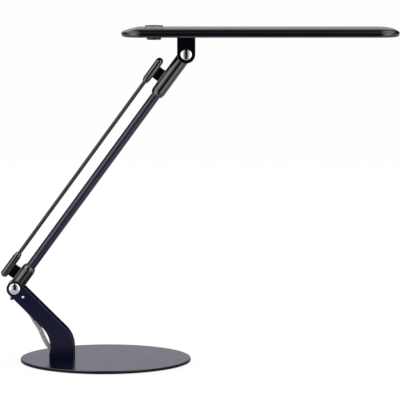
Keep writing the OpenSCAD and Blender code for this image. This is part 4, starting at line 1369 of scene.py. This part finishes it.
@dataclass
class Studio:
    """White sweep, soft panels left and right, and the camera at a product shot's low angle."""

    camera_at: Point3 = (0.11095, -3.4, 0.55018)
    look_down: float = 6.0386
    lens: float = 262.8
    floor_half: float = 60.0
    floor_front: float = -0.34
    floor_glow: float = 0.8
    floor_white: Colour = (0.93, 0.93, 0.93, 1.0)
    floor_mirrored: Colour = (0.66, 0.66, 0.66, 1.0)
    ambient: float = 1.0
    gloom: float = 0.012
    sweep_colour: str = "#f1f2ff"
    aim: Point3 = (0.05, 0, 0.2)
    # Name, place, width in metres and watts
    lamps: tuple[tuple[str, Point3, float, float], ...] = (
        ("key_left", (-1.9, -1.6, 1.7), 1.2, 9.0), ("fill_right", (1.9, -1.3, 1.0), 1.2, 4.0),
        ("top", (0.1, 0.4, 2.2), 1.6, 6.0))
    # The world's measures of a direction: each one's name, its sum and the sum's terms
    MEASURES: ClassVar[tuple[tuple[object, ...], ...]] = (
        ("ahead", "MULTIPLY", "Y", -1.0), ("azimuth", "ARCTAN2", "X", "ahead"),
        ("turn", "ABSOLUTE", "azimuth"), ("around", "DIVIDE", "turn", math.pi),
        ("sideways", "ABSOLUTE", "X"), ("raised", "ADD", "Z", 1.0),
        ("up", "MULTIPLY", "raised", 0.5))

    def build(self) -> None:
        """Sets camera, world, floor and lamps."""
        scene = bpy.context.scene
        scene.view_settings.view_transform = "Standard"
        camera = scene.camera = placed("camera", bpy.data.cameras.new("camera"))
        camera.location = self.camera_at
        camera.rotation_euler = (math.radians(90 - self.look_down), 0, 0)
        camera.data.lens = self.lens
        camera.data.sensor_width = 36
        camera.data.clip_end = 100
        self.surround(scene)
        self.floor()
        for name, at, size, power in self.lamps:
            lamp = placed(name, bpy.data.lights.new(name, "AREA"))
            lamp.data.size = size
            lamp.data.energy = power
            lamp.location = at
            way = Vector(self.aim) - Vector(at)
            lamp.rotation_euler = way.to_track_quat("-Z", "Y").to_euler()
            lamp.visible_glossy = False

    def surround(self, scene: bpy.types.Scene) -> None:
        """White to the eye and an even light, with the dark studio only in reflections.

        Args:
            scene: the scene that gets the world.
        """
        scene.world = bpy.data.worlds.new("studio")
        tree = empty_tree(scene.world)
        rays = add_node(tree, "LightPath").outputs
        way = add_node(tree, "TexCoord").outputs["Generated"]
        known = dict(add_node(tree, "SeparateXYZ", {"Vector": way}).outputs.items())
        mirrored: object = self.gloom
        for name, operation, *terms in self.MEASURES:
            values = {i: known.get(term, term) for i, term in enumerate(terms)}
            known[name] = add_node(tree, "Math", {"operation": operation, **values})
        for glow in (PANELS, SWEEP, STRIPS):
            across = add_node(tree, "ValToRGB", {
                "Fac": known[glow.span.value], "stops": glow.across})
            up = add_node(tree, "ValToRGB", {"Fac": known["up"], "stops": glow.up})
            share = add_node(tree, "Math", {"operation": "MULTIPLY", 0: across, 1: up})
            level = add_node(tree, "Math", {"operation": "MULTIPLY", 0: share, 1: glow.level})
            mirrored = add_node(tree, "Math", {"operation": "ADD", 0: level, 1: mirrored})
            known[glow] = share
        glossy, sweep = rays["Is Glossy Ray"], known[SWEEP]
        level = add_node(tree, "Mix", {
            "data_type": "FLOAT", "Factor": glossy, "A": self.ambient, "B": mirrored})
        seen = add_node(tree, "Math", {
            "operation": "MAXIMUM", 0: rays["Is Camera Ray"], 1: rays["Is Transmission Ray"]})
        shown = add_node(tree, "Mix", {"data_type": "FLOAT", "Factor": seen, "A": level, "B": 1.0})
        cooled = add_node(tree, "Math", {"operation": "MULTIPLY", 0: sweep, 1: glossy})
        colour = add_node(tree, "Mix", {"data_type": "RGBA", "Factor": cooled, 6: linear("#ffffff"),
                                        7: linear(self.sweep_colour)}).outputs[2]
        background = add_node(tree, "Background", {"Color": colour, "Strength": shown})
        add_node(tree, "OutputWorld", {"Surface": background})

    def floor(self) -> None:
        """Lays a white table top that ends in front of the lamp."""
        depth = self.floor_half - self.floor_front
        floor = started("floor", bpy.ops.mesh.primitive_plane_add, (2 * self.floor_half, depth, 1),
                        size=1, location=(0, self.floor_front + depth / 2, 0))
        material = bpy.data.materials.new("white_table")
        tree = empty_tree(material)
        rays = add_node(tree, "LightPath").outputs
        share = add_node(tree, "Math", {
            "operation": "MULTIPLY", 0: rays["Is Camera Ray"], 1: self.floor_glow})
        shade = add_node(tree, "Mix", {"data_type": "RGBA", "Factor": rays["Is Glossy Ray"],
                                       6: self.floor_white, 7: self.floor_mirrored}).outputs[2]
        matt = add_node(tree, "BsdfDiffuse", {"Color": shade})
        glow = add_node(tree, "Emission", {"Color": linear("#ffffff"), "Strength": 1.0})
        mixed = add_node(tree, "MixShader", {"Fac": share, 1: matt, 2: glow})
        add_node(tree, "OutputMaterial", {"Surface": mixed})
        floor.data.materials.append(material)


def dress_carried_over(frame: dict) -> None:
    """Gives every CAD node that still shows its finish.
    """
    for finish, names in CARRIED_OVER.items():
        for name in names:
            materials = frame["nodes"][name].data.materials
            materials.clear()
            materials.append(finish.material())
            LOG.info("%s: kept from the frame, %s", name, finish.name)


def main() -> None:
    """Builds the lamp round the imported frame, assembly by assembly."""
    logging.basicConfig(level=logging.INFO, format="%(message)s")
    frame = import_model()
    places = Places.from_frame(frame)
    for assembly in (Studio(), TwinLead(), BasePlate(), Stand(places),
                     Pivot("lower", "base", places.lower_pivot, 12 * MM), Arm(places),
                     HeadBracket(places), Pivot("upper", "head", places.upper_pivot, 12.5 * MM),
                     HeadShell(places), Controls(places)):
        assembly.build()
    dress_carried_over(frame)


if __name__ == "__main__":
    main()
